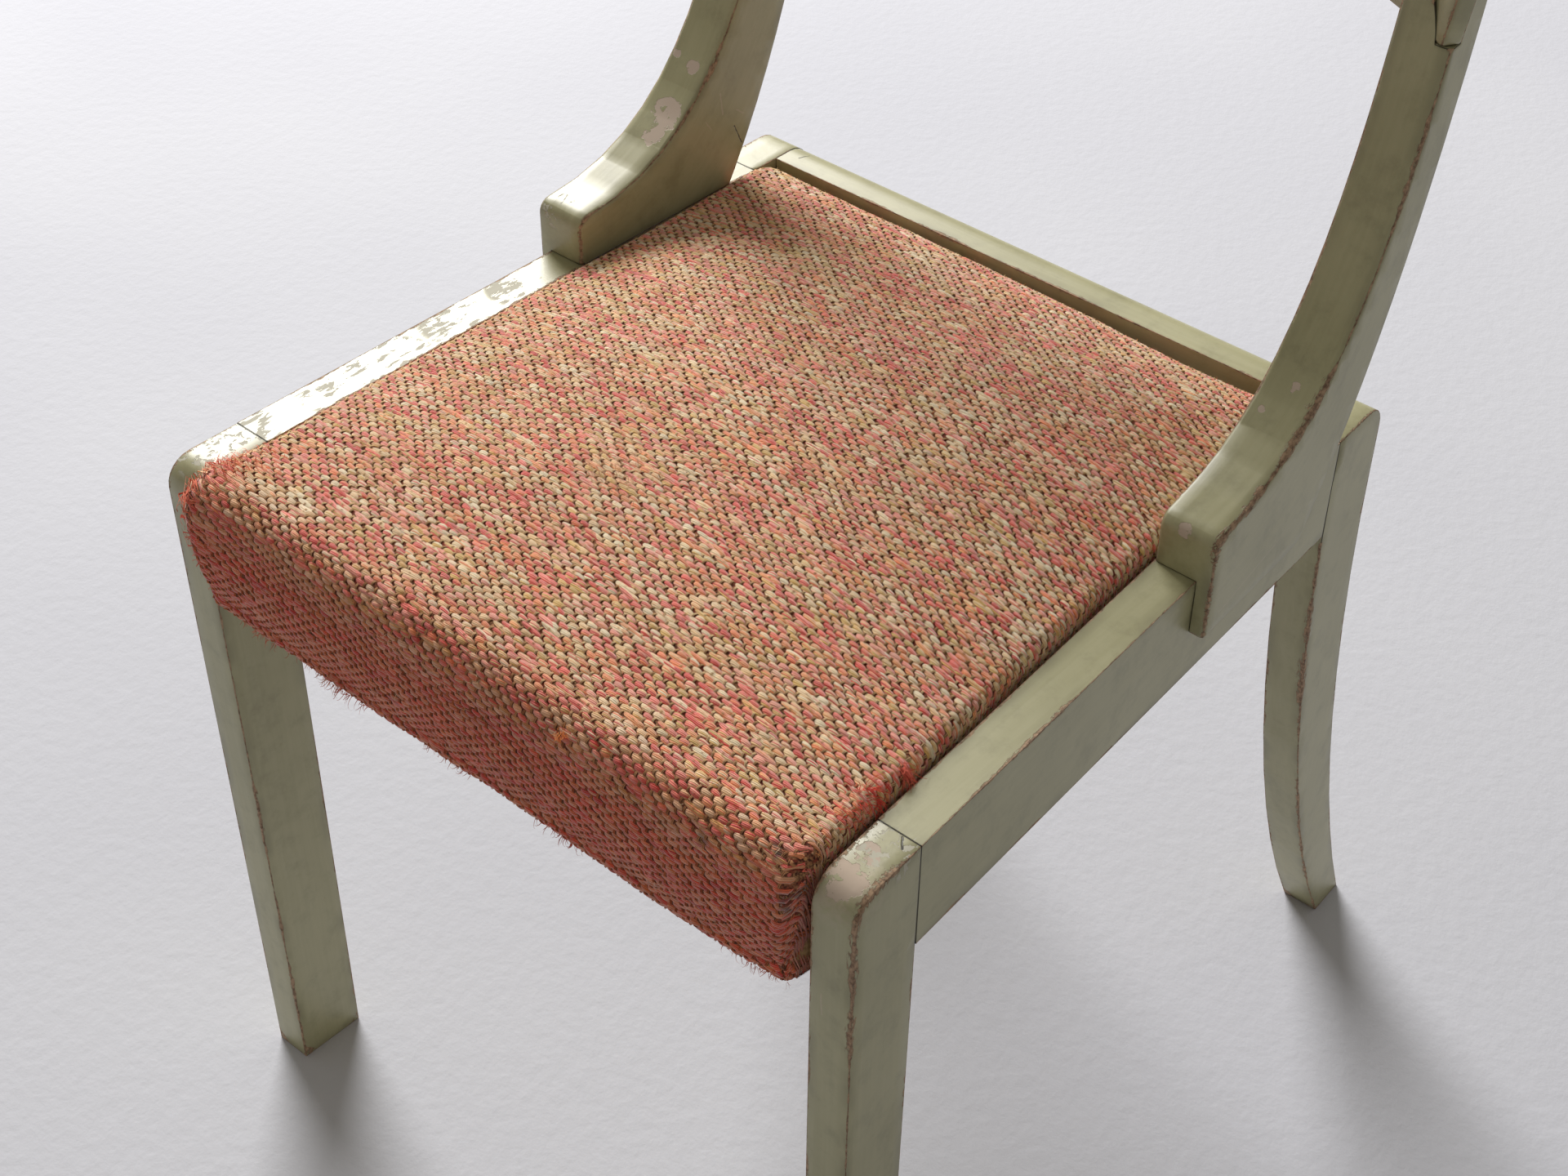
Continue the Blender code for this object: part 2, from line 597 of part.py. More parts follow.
def seat_stuffing():
    """The pad between the webbing and the cover, which also fills the deep front roll."""
    plain = seat_columns(PAD_COLUMNS)
    inset = COVER_THICK + 2 * GAP
    pad = seat_form("seat_stuffing", inset, plain, plain, 0, SEAT_BOTTOM + 2 * GAP, STUFFING)
    cut_below(pad, SEAT_FRAME_FRONT - GAP, PAD_BOTTOM)


def frame_left(y):
    return -seat_side(y, FRAME_INSET)


def frame_right(y):
    return seat_side(y, FRAME_INSET)


def frame_left_inside(y):
    return frame_left(y) + FRAME_WIDTH


def frame_right_inside(y):
    return frame_right(y) - FRAME_WIDTH


def seat_frame():
    """Four beech bars. The front one is deep, and hangs in front of the front rail."""
    front_back = FRONT_RAIL_FRONT - GAP
    low = SEAT_BOTTOM + FRAME_LIFT
    front = bar(
        "seat_frame_front", frame_left, frame_right, SEAT_FRAME_FRONT, front_back, low, FRAME_TOP, RAW_WOOD
    )
    chamfer_uprights(front, SEAT_FRAME_FRONT)
    back = SEAT_BACK - FRAME_INSET
    rear = bar(
        "seat_frame_back", frame_left, frame_right, back - FRAME_WIDTH, back,
        FRAME_BOTTOM, FRAME_TOP, RAW_WOOD,
    )
    chamfer_uprights(rear, back)
    for word, outside, inside in (
        ("left", frame_left, frame_left_inside),
        ("right", frame_right_inside, frame_right),
    ):
        bar(
            f"seat_frame_{word}", outside, inside, front_back + GAP, back - FRAME_WIDTH - GAP,
            FRAME_BOTTOM, FRAME_TOP, RAW_WOOD,
        )


def chamfer_uprights(piece, y):
    """Rounds the two upright corners at y, where the cover turns the corner."""
    mesh = bmesh.new()
    mesh.from_mesh(piece.data)
    uprights = [
        edge for edge in mesh.edges
        if all(abs(vert.co.y - y) < GAP for vert in edge.verts)
        and abs(edge.verts[0].co.z - edge.verts[1].co.z) > GAP
    ]
    bmesh.ops.bevel(
        mesh, geom=uprights, offset=FRAME_CHAMFER, segments=2, profile=0.5, affect="EDGES", material=-1
    )
    mesh.to_mesh(piece.data)
    mesh.free()


def strap(name, start, along, length, crossings, first_high):
    """One strap, tacked down at both ends and woven over and under the ones that it crosses.
    along is the unit vector down its length, and crossings are distances along it."""
    half = STRAP_WIDTH / 2
    across = Vector((abs(along.y), abs(along.x), 0))
    stations = [(0, 0)]
    for k, at in enumerate(crossings):
        level = (k + first_high) % 2
        stations += [(at - half, level), (at + half, level)]
    stations.append((length, 0))
    thick = Vector((0, 0, STRAP_THICK))
    climb = Vector((0, 0, STRAP_HIGH - STRAP_LOW))
    under = [start + along * distance + climb * level for distance, level in stations]
    section = [*under, *(p + thick for p in reversed(under))]
    near = [p - across * half for p in section]
    far = [p + across * half for p in section]
    finish(name, prism(near, far), WEBBING)


def straps():
    """Interlaced webbing over the seat frame."""
    front = SEAT_FRAME_FRONT + FRAME_CHAMFER / 2
    back = SEAT_BACK - FRAME_INSET - FRAME_CHAMFER / 2
    width = 2 * frame_right_inside(back)
    depth = back - front - 2 * FRAME_WIDTH
    long_x = [width * ((i + 0.5) / LONG_STRAPS - 0.5) for i in range(LONG_STRAPS)]
    cross_y = [front + FRAME_WIDTH + depth * (j + 0.5) / CROSS_STRAPS for j in range(CROSS_STRAPS)]
    for i, x in enumerate(long_x):
        crossings = [y - front for y in cross_y]
        start = Vector((x, front, STRAP_LOW))
        strap(f"strap_long_{i + 1}", start, Vector((0, 1, 0)), back - front, crossings, i % 2)
    for j, y in enumerate(cross_y):
        reach = frame_right(y + STRAP_WIDTH / 2) - LEG_EASE
        crossings = [x + reach for x in long_x]
        start = Vector((-reach, y, STRAP_LOW))
        strap(f"strap_cross_{j + 1}", start, Vector((1, 0, 0)), 2 * reach, crossings, (j + 1) % 2)


def chair():
    housing = crest()
    for side, word in ((-1, "left"), (1, "right")):
        front_leg(side, word)
        rear_leg(side, word)
        side_rail(side, word)
        back_post(side, word, housing)
        corner_block(f"corner_block_front_{word}", FRONT_RAIL_BACK + GAP, 1, side)
        corner_block(f"corner_block_rear_{word}", BACK_RAIL_FRONT - GAP, -1, side)
    cross_rail("front_rail", FRONT_RAIL_FRONT, FRONT_RAIL_BACK, RAIL_BOTTOM, BEARER_TOP, 0)
    cross_rail("back_rail", BACK_RAIL_FRONT, BACK_RAIL_BACK, RAIL_BOTTOM, SEAT_HEIGHT, LEG_CORNER)
    seat_frame()
    straps()
    seat_stuffing()
    seat_cover()


chair()
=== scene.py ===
# %% [markdown]
# # An old painted chair with a loose woven seat
#
# The chair's solids come from a fixed frame: legs, rails, posts and seat are already at their
# real size. This lesson gives them their looks: paint that has worn and peeled off the edges,
# and a cushion whose cover is woven here from thousands of small yarn floats. Everything is in
# metres, +Z is up and the chair faces -Y.

import math

import bmesh
import bpy
import numpy as np
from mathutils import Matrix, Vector, geometry
from mathutils.bvhtree import BVHTree


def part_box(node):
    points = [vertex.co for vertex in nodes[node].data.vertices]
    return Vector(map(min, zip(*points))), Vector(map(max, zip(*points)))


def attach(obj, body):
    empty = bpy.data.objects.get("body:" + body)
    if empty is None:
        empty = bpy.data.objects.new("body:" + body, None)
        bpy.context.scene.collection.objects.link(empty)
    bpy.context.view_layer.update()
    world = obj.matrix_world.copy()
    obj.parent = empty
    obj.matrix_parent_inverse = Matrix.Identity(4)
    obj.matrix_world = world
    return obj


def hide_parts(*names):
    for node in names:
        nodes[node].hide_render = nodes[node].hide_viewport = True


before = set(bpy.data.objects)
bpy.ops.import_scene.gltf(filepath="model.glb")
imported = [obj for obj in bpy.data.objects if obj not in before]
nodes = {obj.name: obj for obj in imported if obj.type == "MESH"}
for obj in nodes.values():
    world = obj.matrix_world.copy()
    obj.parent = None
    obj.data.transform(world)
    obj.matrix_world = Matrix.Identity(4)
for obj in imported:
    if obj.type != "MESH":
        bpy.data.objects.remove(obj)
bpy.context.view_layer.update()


def add(name, data):
    obj = bpy.data.objects.new(name, data)
    bpy.context.scene.collection.objects.link(obj)
    return obj


def to_data(mesh, name):
    data = bpy.data.meshes.new(name)
    mesh.to_mesh(data)
    mesh.free()
    return data


# %% [markdown]
# The chair is looked at from its front right, from well above. The camera's place, its turn and
# its lens were worked out from the corners of the seat frame and the feet. A camera looks down
# its own -Z, so its three axes are written straight into its matrix.

# %% Camera
AZIMUTH = math.radians(40.505)
ELEVATION = math.radians(41.077)
ROLL = math.radians(0.479)
FOCAL_PIXELS = 2974.1
IMAGE_WIDTH = 1920
SENSOR = 36.0
CAMERA_PLACE = (0.6134, -0.7673, 1.1706)


def look(place, azimuth, elevation, roll):
    right = Vector((math.cos(azimuth), math.sin(azimuth), 0))
    back = Vector((
        math.sin(azimuth) * math.cos(elevation),
        -math.cos(azimuth) * math.cos(elevation),
        math.sin(elevation),
    ))
    up = back.cross(right)
    camera = bpy.data.cameras.new("camera")
    camera.sensor_width = SENSOR
    camera.lens = FOCAL_PIXELS * SENSOR / IMAGE_WIDTH
    obj = add("camera", camera)
    side = right * math.cos(roll) + up * math.sin(roll)
    top = up * math.cos(roll) - right * math.sin(roll)
    for i, axis in enumerate((side, top, back, Vector(place))):
        for row in range(3):
            obj.matrix_world[row][i] = axis[row]
    return obj


bpy.context.scene.camera = look(CAMERA_PLACE, AZIMUTH, ELEVATION, ROLL)
bpy.context.scene.view_settings.view_transform = "Standard"
print("camera at", [round(c, 3) for c in bpy.context.scene.camera.location])

# %% [markdown]
# Shader maths reads best as plain expressions. A Wire wraps one socket, and its operators add
# Math nodes. A Shader holds the node tree of one material, and its node method makes any node.
# In a Mix node the colours are inputs 6 and 7, and the mixed colour is output 2.


# %% Shader maths
class Wire:
    """One output socket of a node tree."""

    def __init__(self, shader, socket):
        self.shader = shader
        self.socket = socket

    def math(self, operation, *others):
        return self.shader.math(operation, self, *others)

    def __add__(self, other):
        return self.math("ADD", other)

    def __sub__(self, other):
        return self.math("SUBTRACT", other)

    def __rsub__(self, other):
        return self.shader.math("SUBTRACT", other, self)

    def __mul__(self, other):
        return self.math("MULTIPLY", other)

    def __truediv__(self, other):
        return self.math("DIVIDE", other)

    def above(self, low, high):
        """0 under low, 1 over high and smooth between. low may be the larger."""
        settings = {"interpolation_type": "SMOOTHSTEP"}
        values = {"Value": self, "From Min": low, "From Max": high}
        return self.shader.node("ShaderNodeMapRange", settings, values, "Result")

    def clip(self):
        return self.shader.node("ShaderNodeClamp", {}, {"Value": self}, "Result")

    def top(self, other):
        return self.math("MAXIMUM", other)


class Shader:
    """A material and its node tree."""

    def __init__(self, name):
        self.material = bpy.data.materials.new(name)
        self.material.use_nodes = True
        self.tree = self.material.node_tree
        self.surface = self.tree.nodes["Principled BSDF"]

    def node(self, kind, settings, values, output=0):
        made = self.tree.nodes.new(kind)
        for key, value in settings.items():
            setattr(made, key, value)
        for key, value in values.items():
            self.feed(made.inputs[key], value)
        return Wire(self, made.outputs[output])

    def feed(self, socket, value):
        if isinstance(value, Wire):
            self.tree.links.new(value.socket, socket)
        elif isinstance(value, tuple) and len(value) == 3 and socket.type == "RGBA":
            socket.default_value = (*value, 1)
        else:
            socket.default_value = value

    def set(self, **values):
        """Feeds the Principled shader: base_color goes to Base Color, and so on."""
        for key, value in values.items():
            self.feed(self.surface.inputs[key.replace("_", " ").title()], value)

    def math(self, operation, *values):
        numbered = dict(enumerate(values))
        return self.node("ShaderNodeMath", {"operation": operation}, numbered)

    def mix(self, factor, low, high):
        """Colour low where factor is 0 and high where it is 1."""
        values = {0: factor, 6: low, 7: high}
        return self.node("ShaderNodeMix", {"data_type": "RGBA"}, values, 2)

    def multiply(self, factor, colour, other):
        settings = {"data_type": "RGBA", "blend_type": "MULTIPLY"}
        return self.node("ShaderNodeMix", settings, {0: factor, 6: colour, 7: other}, 2)

    def place(self):
        return self.node("ShaderNodeTexCoord", {}, {}, "Object")

    def attribute(self, name, output="Fac"):
        return self.node("ShaderNodeAttribute", {"attribute_name": name}, {}, output)

    def split(self, vector):
        parts = self.node("ShaderNodeSeparateXYZ", {}, {"Vector": vector}).socket.node
        return [Wire(self, parts.outputs[axis]) for axis in "XYZ"]

    def stretch(self, vector, scale):
        return self.node("ShaderNodeMapping", {}, {"Vector": vector, "Scale": scale})

    def noise(self, vector, scale, detail=2.0, rough=0.5, warp=0.0):
        values = {"Vector": vector, "Scale": scale, "Detail": detail}
        values.update({"Roughness": rough, "Distortion": warp})
        return self.node("ShaderNodeTexNoise", {}, values)

    def waves(self, axis, scale):
        values = {"Vector": self.place(), "Scale": scale}
        return self.node("ShaderNodeTexWave", {"bands_direction": axis}, values, "Fac")

    def vector(self, operation, *values, output="Vector"):
        numbered = dict(enumerate(values))
        return self.node("ShaderNodeVectorMath", {"operation": operation}, numbered, output)

    def near(self, spots):
        """1 at any of the spots, which are points with a radius, and 0 from the radius on."""
        most = None
        for point, radius in spots:
            far = self.vector("DISTANCE", self.place(), point, output="Value")
            found = far.above(radius, radius * 0.3)
            most = found if most is None else most.top(found)
        return most

    def stroke(self, start, end, width):
        """1 along a line that wavers a little and 0 beside it."""
        waver = Vector((0.0006, 0.0006, 0.0006))
        way = Vector(end) - Vector(start)
        shake = self.node("ShaderNodeTexNoise", {}, {"Vector": self.place(), "Scale": 350.0}, "Color")
        place = self.vector("MULTIPLY_ADD", shake, tuple(waver * 2), self.place())
        apart = self.vector("SUBTRACT", place, tuple(Vector(start) + waver))
        run = self.vector("DOT_PRODUCT", apart, tuple(way), output="Value")
        foot = self.vector("MULTIPLY", (run / way.length_squared).clip(), tuple(way))
        far = self.vector("DISTANCE", apart, foot, output="Value")
        return far.above(width, width * 0.4)

    def bump(self, height, distance, strength=1.0):
        values = {"Height": height, "Distance": distance, "Strength": strength}
        return self.node("ShaderNodeBump", {}, values, "Normal")


def srgb(red, green, blue):
    """A colour picked on the 0 to 255 scale, in the linear values that shaders take."""
    return tuple(((c / 255 + 0.055) / 1.055) ** 2.4 for c in (red, green, blue))


# %% [markdown]
# A pale floor under plain soft light. One large lamp stands behind and to the left, so that the
# rails' tops catch its glare and the shadows fall softly to the right. The world fills in the
# rest. The camera sees the world paler than its light is.

# %% Floor, lamp and world
FLOOR_SIZE = 14.0
FLOOR_TONES = srgb(193, 194, 203), srgb(199, 200, 208)
LAMP_AIM = Vector((0, 0, 0.3))
LAMP_TOWARDS = Vector((-0.80, 0.48, 0.62))


def make_floor():
    mesh = bmesh.new()
    bmesh.ops.create_grid(mesh, x_segments=1, y_segments=1, size=FLOOR_SIZE / 2)
    floor = add("floor", to_data(mesh, "floor"))
    shader = Shader("floor_paint")
    grain = shader.noise(shader.place(), 90, 6, 0.6)
    cloud = shader.noise(shader.place(), 1.6, 2)
    tone = shader.mix(cloud.above(0.3, 0.7), *FLOOR_TONES)
    shader.set(base_color=tone, roughness=0.9, normal=shader.bump(grain, 0.002, 0.35))
    shader.surface.inputs["Specular IOR Level"].default_value = 0.15
    floor.data.materials.append(shader.material)


def make_lamp(distance, size, power, colour):
    lamp = bpy.data.lights.new("window", "AREA")
    lamp.shape = "DISK"
    lamp.size = size
    lamp.energy = power
    lamp.color = colour
    obj = add("window", lamp)
    obj.location = LAMP_AIM + LAMP_TOWARDS.normalized() * distance
    obj.rotation_euler = LAMP_TOWARDS.to_track_quat("Z", "Y").to_euler()


def make_world(light, shown):
    world = bpy.data.worlds.new("room")
    bpy.context.scene.world = world
    world.use_nodes = True
    tree = world.node_tree
    background = tree.nodes["Background"]
    paths = tree.nodes.new("ShaderNodeLightPath")
    mix = tree.nodes.new("ShaderNodeMix")
    mix.data_type = "RGBA"
    tree.links.new(paths.outputs["Is Camera Ray"], mix.inputs[0])
    mix.inputs[6].default_value = (*light, 1)
    mix.inputs[7].default_value = (*shown, 1)
    tree.links.new(mix.outputs[2], background.inputs["Color"])


make_floor()
make_lamp(distance=5.5, size=3.1, power=450, colour=(1.0, 0.985, 0.95))
make_world(light=(0.30, 0.286, 0.252), shown=(0.76, 0.76, 0.77))
print("floor, lamp and world are set")

# %% [markdown]
# Paint wears where hands and knees rub: along the edges. So each painted piece needs to know, at
# every point, how far the nearest edge is. A copy of the piece is cut into a grid of small flat
# faces, which keeps its shape exactly, and each corner of the grid stores its distance to the
# nearest crease. Creases that meet another piece are seams. Paint cracks there and doesn't wear,
# so they are stored apart.

# %% Distances to edges and seams
GRID = 0.0085
SEAM_REACH = 0.0013  # an edge this near to another piece is a seam
NEXT_TO = 0.01
SHARPEST_FLAT = math.radians(28)  # a crease turns more than this
FAR_FROM_EDGE = 0.05
PAINTED_STARTS = ("front_leg", "rear_leg", "side_rail", "back_", "crest", "front_rail")
PAINTED = [name for name in sorted(nodes) if name.startswith(PAINTED_STARTS)]


def merged(node):
    """A CAD node as one joined mesh with whole flat faces."""
    mesh = bmesh.new()
    mesh.from_mesh(nodes[node].data)
    bmesh.ops.remove_doubles(mesh, verts=mesh.verts, dist=1e-5)
    bmesh.ops.dissolve_limit(mesh, angle_limit=0.01, verts=mesh.verts, edges=mesh.edges)
    return mesh


def nearby(node):
    """The painted pieces next to a node, as one tree to measure to."""
    low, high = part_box(node)
    points, faces = [], []
    for other in PAINTED:
        a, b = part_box(other)
        apart = any(a[i] > high[i] + NEXT_TO or b[i] < low[i] - NEXT_TO for i in range(3))
        if other == node or apart:
            continue
        start = len(points)
        points += [v.co for v in nodes[other].data.vertices]
        faces += [[start + i for i in p.vertices] for p in nodes[other].data.polygons]
    return BVHTree.FromPolygons(points, faces) if points else None


def creases(mesh, node):
    """The ends of the outward creases, those that are free and those at a seam."""
    tree = nearby(node)
    free, seams = [], []
    for edge in mesh.edges:
        if len(edge.link_faces) != 2 or edge.calc_face_angle_signed(0) < SHARPEST_FLAT:
            continue
        a, b = (vert.co.copy() for vert in edge.verts)
        met = tree is not None and tree.find_nearest((a + b) / 2, SEAM_REACH)[0] is not None
        (seams if met else free).append((a, b))
    return free, seams


def distances(points, segments, most):
    """Each point's distance to the nearest segment, up to most."""
    nearest = np.full(len(points), most)
    for a, b in segments:
        a, b = np.array(a), np.array(b)
        along = b - a
        share = np.clip((points - a) @ along / max(along @ along, 1e-12), 0, 1)
        gap = np.linalg.norm(points - a - share[:, None] * along, axis=1)
        nearest = np.minimum(nearest, gap)
    return nearest


def slice_grid(mesh, low, high):
    for axis in range(3):
        count = round((high[axis] - low[axis]) / GRID)
        normal = Vector((0, 0, 0))
        normal[axis] = 1
        for k in range(1, count):
            everything = [*mesh.verts, *mesh.edges, *mesh.faces]
            place = low.lerp(high, k / count)
            bmesh.ops.bisect_plane(mesh, geom=everything, plane_co=place, plane_no=normal)


def points_of(data):
    flat = np.empty(len(data.vertices) * 3, np.float32)
    data.vertices.foreach_get("co", flat)
    return flat.reshape(-1, 3).astype(float)


def store(data, name, kind, values):
    layer = data.attributes.new(name, kind, "POINT")
    field = {"FLOAT": "value", "FLOAT_VECTOR": "vector", "FLOAT_COLOR": "color"}[kind]
    layer.data.foreach_set(field, np.ascontiguousarray(values, np.float32).ravel())


print("painted pieces:", len(PAINTED))

# %% [markdown]
# Brush marks, wood grain and the longest chips all run down the length of a piece. The grain
# attribute holds, for each point, its distance along the piece and its place across it. On the
# straight pieces that is a swap of axes. A back post curves, so there it is measured along a
# curve through the middle of the post.

# %% Grain
LENGTHWISE = {  # the axis that runs along each straight piece
    "front_leg": 2, "rear_leg": 2, "side_rail": 1, "back_rail": 0, "front_rail": 0, "crest": 0,
}
TOE_UP = 0.045
HEAD_BACK = 0.018
TOE_HANDLE = Vector((0.11, 0.01, 0))
HEAD_HANDLE = Vector((0.05, 0.21, 0))
PATH_POINTS = 40


def post_path():
    """The middle of a back post in (y, z), from its toe to its head."""
    low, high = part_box("back_post_left")
    toe = Vector((low.y, low.z + TOE_UP, 0))
    head = Vector((high.y - HEAD_BACK, high.z, 0))
    handles = toe + TOE_HANDLE, head - HEAD_HANDLE
    return geometry.interpolate_bezier(toe, *handles, head, PATH_POINTS)


def grain_of(node, points):
    """Each point's place along its piece, across it and through it."""
    for start, axis in LENGTHWISE.items():
        if node.startswith(start):
            return points[:, [axis, (axis + 1) % 3, (axis + 2) % 3]]
    path = np.array(post_path())[:, :2]
    flat = points[:, 1:3]
    run = np.r_[0, np.cumsum(np.linalg.norm(np.diff(path, axis=0), axis=1))]
    gaps = np.linalg.norm(flat[:, None] - path[None], axis=2)
    nearest = np.clip(gaps.argmin(axis=1), 1, len(path) - 2)
    direction = path[nearest + 1] - path[nearest - 1]
    direction /= np.linalg.norm(direction, axis=1)[:, None]
    away = flat - path[nearest]
    along = run[nearest] + (away * direction).sum(axis=1)
    across = away[:, 1] * direction[:, 0] - away[:, 0] * direction[:, 1]
    return np.stack([along, across, points[:, 0]], axis=1)


def make_painted(node):
    mesh = merged(node)
    free, seams = creases(mesh, node)
    slice_grid(mesh, *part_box(node))
    bmesh.ops.triangulate(mesh, faces=[f for f in mesh.faces if len(f.verts) > 4])
    name = f"{node}_painted"
    data = to_data(mesh, name)
    points = points_of(data)
    store(data, "edge", "FLOAT", distances(points, free, FAR_FROM_EDGE))
    store(data, "seam", "FLOAT", distances(points, seams, FAR_FROM_EDGE))
    store(data, "grain", "FLOAT_VECTOR", grain_of(node, points))
    data.shade_smooth()
    data.set_sharp_from_angle(angle=math.radians(30))
    piece = add(name, data)
    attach(piece, "root")
    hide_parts(node)
    print(name, len(data.polygons), "faces,", len(free), "free creases,", len(seams), "at seams")
    return piece


painted = {node: make_painted(node) for node in PAINTED}

# %% [markdown]
# Old grey-green paint over a pinkish ground coat over beech. The paint is one material for all
# the pieces. Masks take it away: in a thin ragged line along the free edges, which is wider where
# hands and legs have rubbed, in flakes on the left rail, and down to the ground coat in a few
# patches. Each of the lists gives places with a radius, or strokes with a width.

# %% Paint
PAINT_PALE = srgb(172, 168, 132)
PAINT_DEEP = srgb(157, 153, 116)
GROUND_COAT = srgb(190, 172, 156)
UNDER_FLAKE = srgb(186, 182, 166)
WORN_WOOD = srgb(178, 148, 120)
DARK_WOOD = srgb(104, 78, 58)
DIRT = srgb(88, 76, 50)
SCRATCHED = srgb(186, 172, 148)
IN_A_CRACK = srgb(34, 28, 20)
WEAR = 0.0004  # the narrowest width of bare wood along an edge
WEAR_IN_RUNS = 0.0008
WEAR_BY_HANDS = 0.0016

BARE_PATCHES = [
    ((-0.1955, 0.077, 0.495), 0.015),
    ((-0.1945, 0.066, 0.4875), 0.01),
    ((-0.2076, 0.1, 0.5182), 0.004),
    ((-0.1941, 0.0978, 0.5156), 0.006),
    ((0.2035, -0.2475, 0.439), 0.014),
    ((0.202, -0.232, 0.44), 0.009),
    ((0.199, -0.0015, 0.465), 0.006),
    ((0.1906, 0.0701, 0.49), 0.003),
    ((0.1996, 0.0822, 0.4995), 0.004),
]
RUBBED_WIDE = [
    ((0.217, -0.244, 0.437), 0.026),
    ((0.2177, -0.2586, 0.405), 0.034),
    ((0.218, -0.2586, 0.36), 0.022),
    ((0.2083, 0.0835, 0.5007), 0.02),
    ((0.2102, 0.0584, 0.4828), 0.02),
    ((0.2124, 0.0297, 0.4723), 0.018),
    ((0.2158, 0.0002, 0.4659), 0.016),
    ((0.201, -0.001, 0.466), 0.016),
    ((0.203, 0.1459, 0.2716), 0.03),
    ((0.203, 0.14, 0.315), 0.024),
    ((-0.1816, 0.12, 0.515), 0.022),
]
FLAKING = [
    ((-0.208, -0.238, 0.44), 0.022),
    ((-0.207, -0.215, 0.44), 0.02),
    ((-0.201, -0.16, 0.44), 0.028),
    ((-0.196, -0.127, 0.44), 0.026),
    ((-0.199, -0.083, 0.44), 0.024),
    ((-0.1975, -0.04, 0.44), 0.02),
    ((-0.206, 0.003, 0.464), 0.012),
    ((0.208, -0.225, 0.44), 0.016),
]
RUBBED_TOP = [((0.2035, -0.2500, 0.4380), 0.024)]
CRACKS = [
    ((-0.1813, 0.117, 0.4758), (-0.1811, 0.1228, 0.4629), 0.0005),
    ((0.207, -0.2156, 0.44), (0.2113, -0.2209, 0.44), 0.0007),
    ((-0.17, 0.16, 0.44), (-0.164, 0.176, 0.44), 0.0005),
]
SCRATCHES = [
    ((0.201, -0.2586, 0.3748), (0.2017, -0.2586, 0.362), 0.0006),
    ((-0.1816, 0.1062, 0.5002), (-0.1816, 0.1079, 0.4868), 0.0007),
    ((-0.1812, 0.119, 0.4852), (-0.181, 0.1242, 0.481), 0.0006),
    ((-0.1821, 0.0944, 0.4874), (-0.182, 0.099, 0.481), 0.0005),
    ((0.2166, 0.01, 0.418), (0.213, 0.1, 0.433), 0.0004),
]


def paint_material():
    shader = Shader("old_paint")
    grain = shader.attribute("grain", "Vector")
    place = shader.place()
    brush = shader.noise(shader.stretch(grain, (12, 330, 330)), 1, 4, 0.6)
    cloud = shader.noise(place, 14, 3)
    fine = shader.noise(place, 420, 3, 0.6)
    tone = brush.above(0.3, 0.7) * 0.35 + cloud.above(0.3, 0.7) * 0.65
    colour = shader.mix(tone, PAINT_DEEP, PAINT_PALE)

    edge = shader.attribute("edge")
    seam = shader.attribute("seam")
    ragged = shader.noise(shader.stretch(grain, (170, 600, 600)), 1, 5, 0.65)
    runs = shader.noise(place, 24, 2).above(0.42, 0.62)
    worn_here = shader.near(RUBBED_WIDE)
    reach = (runs * WEAR_IN_RUNS + worn_here * WEAR_BY_HANDS + WEAR) * ragged.above(0.25, 0.75)
    rubbed = (edge / reach.top(0.00005)).above(2.2, 1.4)
    flaws = shader.noise(place, 7, 2).above(0.60, 0.68)
    pits = shader.noise(shader.stretch(grain, (90, 300, 300)), 1, 5, 0.7).above(0.70, 0.715) * flaws

    shape = shader.noise(shader.stretch(grain, (75, 210, 210)), 1, 5, 0.6, 0.4)
    flaked = shape.above(0.555, 0.562) * shader.near(FLAKING).above(0.05, 0.35)
    outline = shader.noise(place, 130, 5, 0.65)
    bared = (shader.near(BARE_PATCHES) * (outline * 6.0 - 2.1)).above(0.38, 0.46)
    softly = shader.near(RUBBED_TOP)

    dirty = shader.noise(place, 50, 5, 0.7).above(0.45, 0.75) * 0.22
    grimy = edge.above(0.008, 0.0005) * shader.noise(place, 30, 3).above(0.4, 0.65) * 0.3
    colour = shader.multiply(dirty.top(grimy), colour, DIRT)
    colour = shader.mix(softly * outline.above(0.35, 0.6) * 0.5, colour, GROUND_COAT)
    colour = shader.mix(bared, colour, GROUND_COAT)
    colour = shader.mix(flaked, colour, UNDER_FLAKE)
    bare = shader.mix((fine * 0.6 + ragged * 0.5).above(0.4, 0.7), DARK_WOOD, WORN_WOOD)
    colour = shader.mix(rubbed.top(pits), colour, bare)
    for start, end, width in SCRATCHES:
        colour = shader.mix(shader.stroke(start, end, width) * 0.6, colour, SCRATCHED)
    split = seam.above(0.0004, 0.0001)
    for start, end, width in CRACKS:
        split = split.top(shader.stroke(start, end, width))
    colour = shader.mix(split * 0.9, colour, IN_A_CRACK)

    gone = rubbed.top(pits).top(flaked).top(bared)
    skin = (1 - gone) * 0.6 + brush * 0.12 + cloud * 0.5 - split * 0.6
    rough = gone * 0.42 + brush * 0.10 + softly * 0.15 + 0.33
    shader.set(base_color=colour, roughness=rough, normal=shader.bump(skin, 0.0005, 0.8))
    shader.surface.inputs["Specular IOR Level"].default_value = 0.7
    return shader.material


paint = paint_material()
for piece in painted.values():
    piece.data.materials.append(paint)
print("paint on", len(painted), "pieces")

# %% [markdown]
# The seat frame and the corner blocks are raw beech, the webbing is jute and the stuffing is
# felt. They show only from below. They keep the solids of the fixed frame, apart from the
# stuffing, which is drawn in under the skin later on.


# %% Raw wood, webbing and stuffing
def wear_only(piece, material):
    piece.data.materials.clear()
    piece.data.materials.append(material)
    print(piece.name, "wears", material.name)


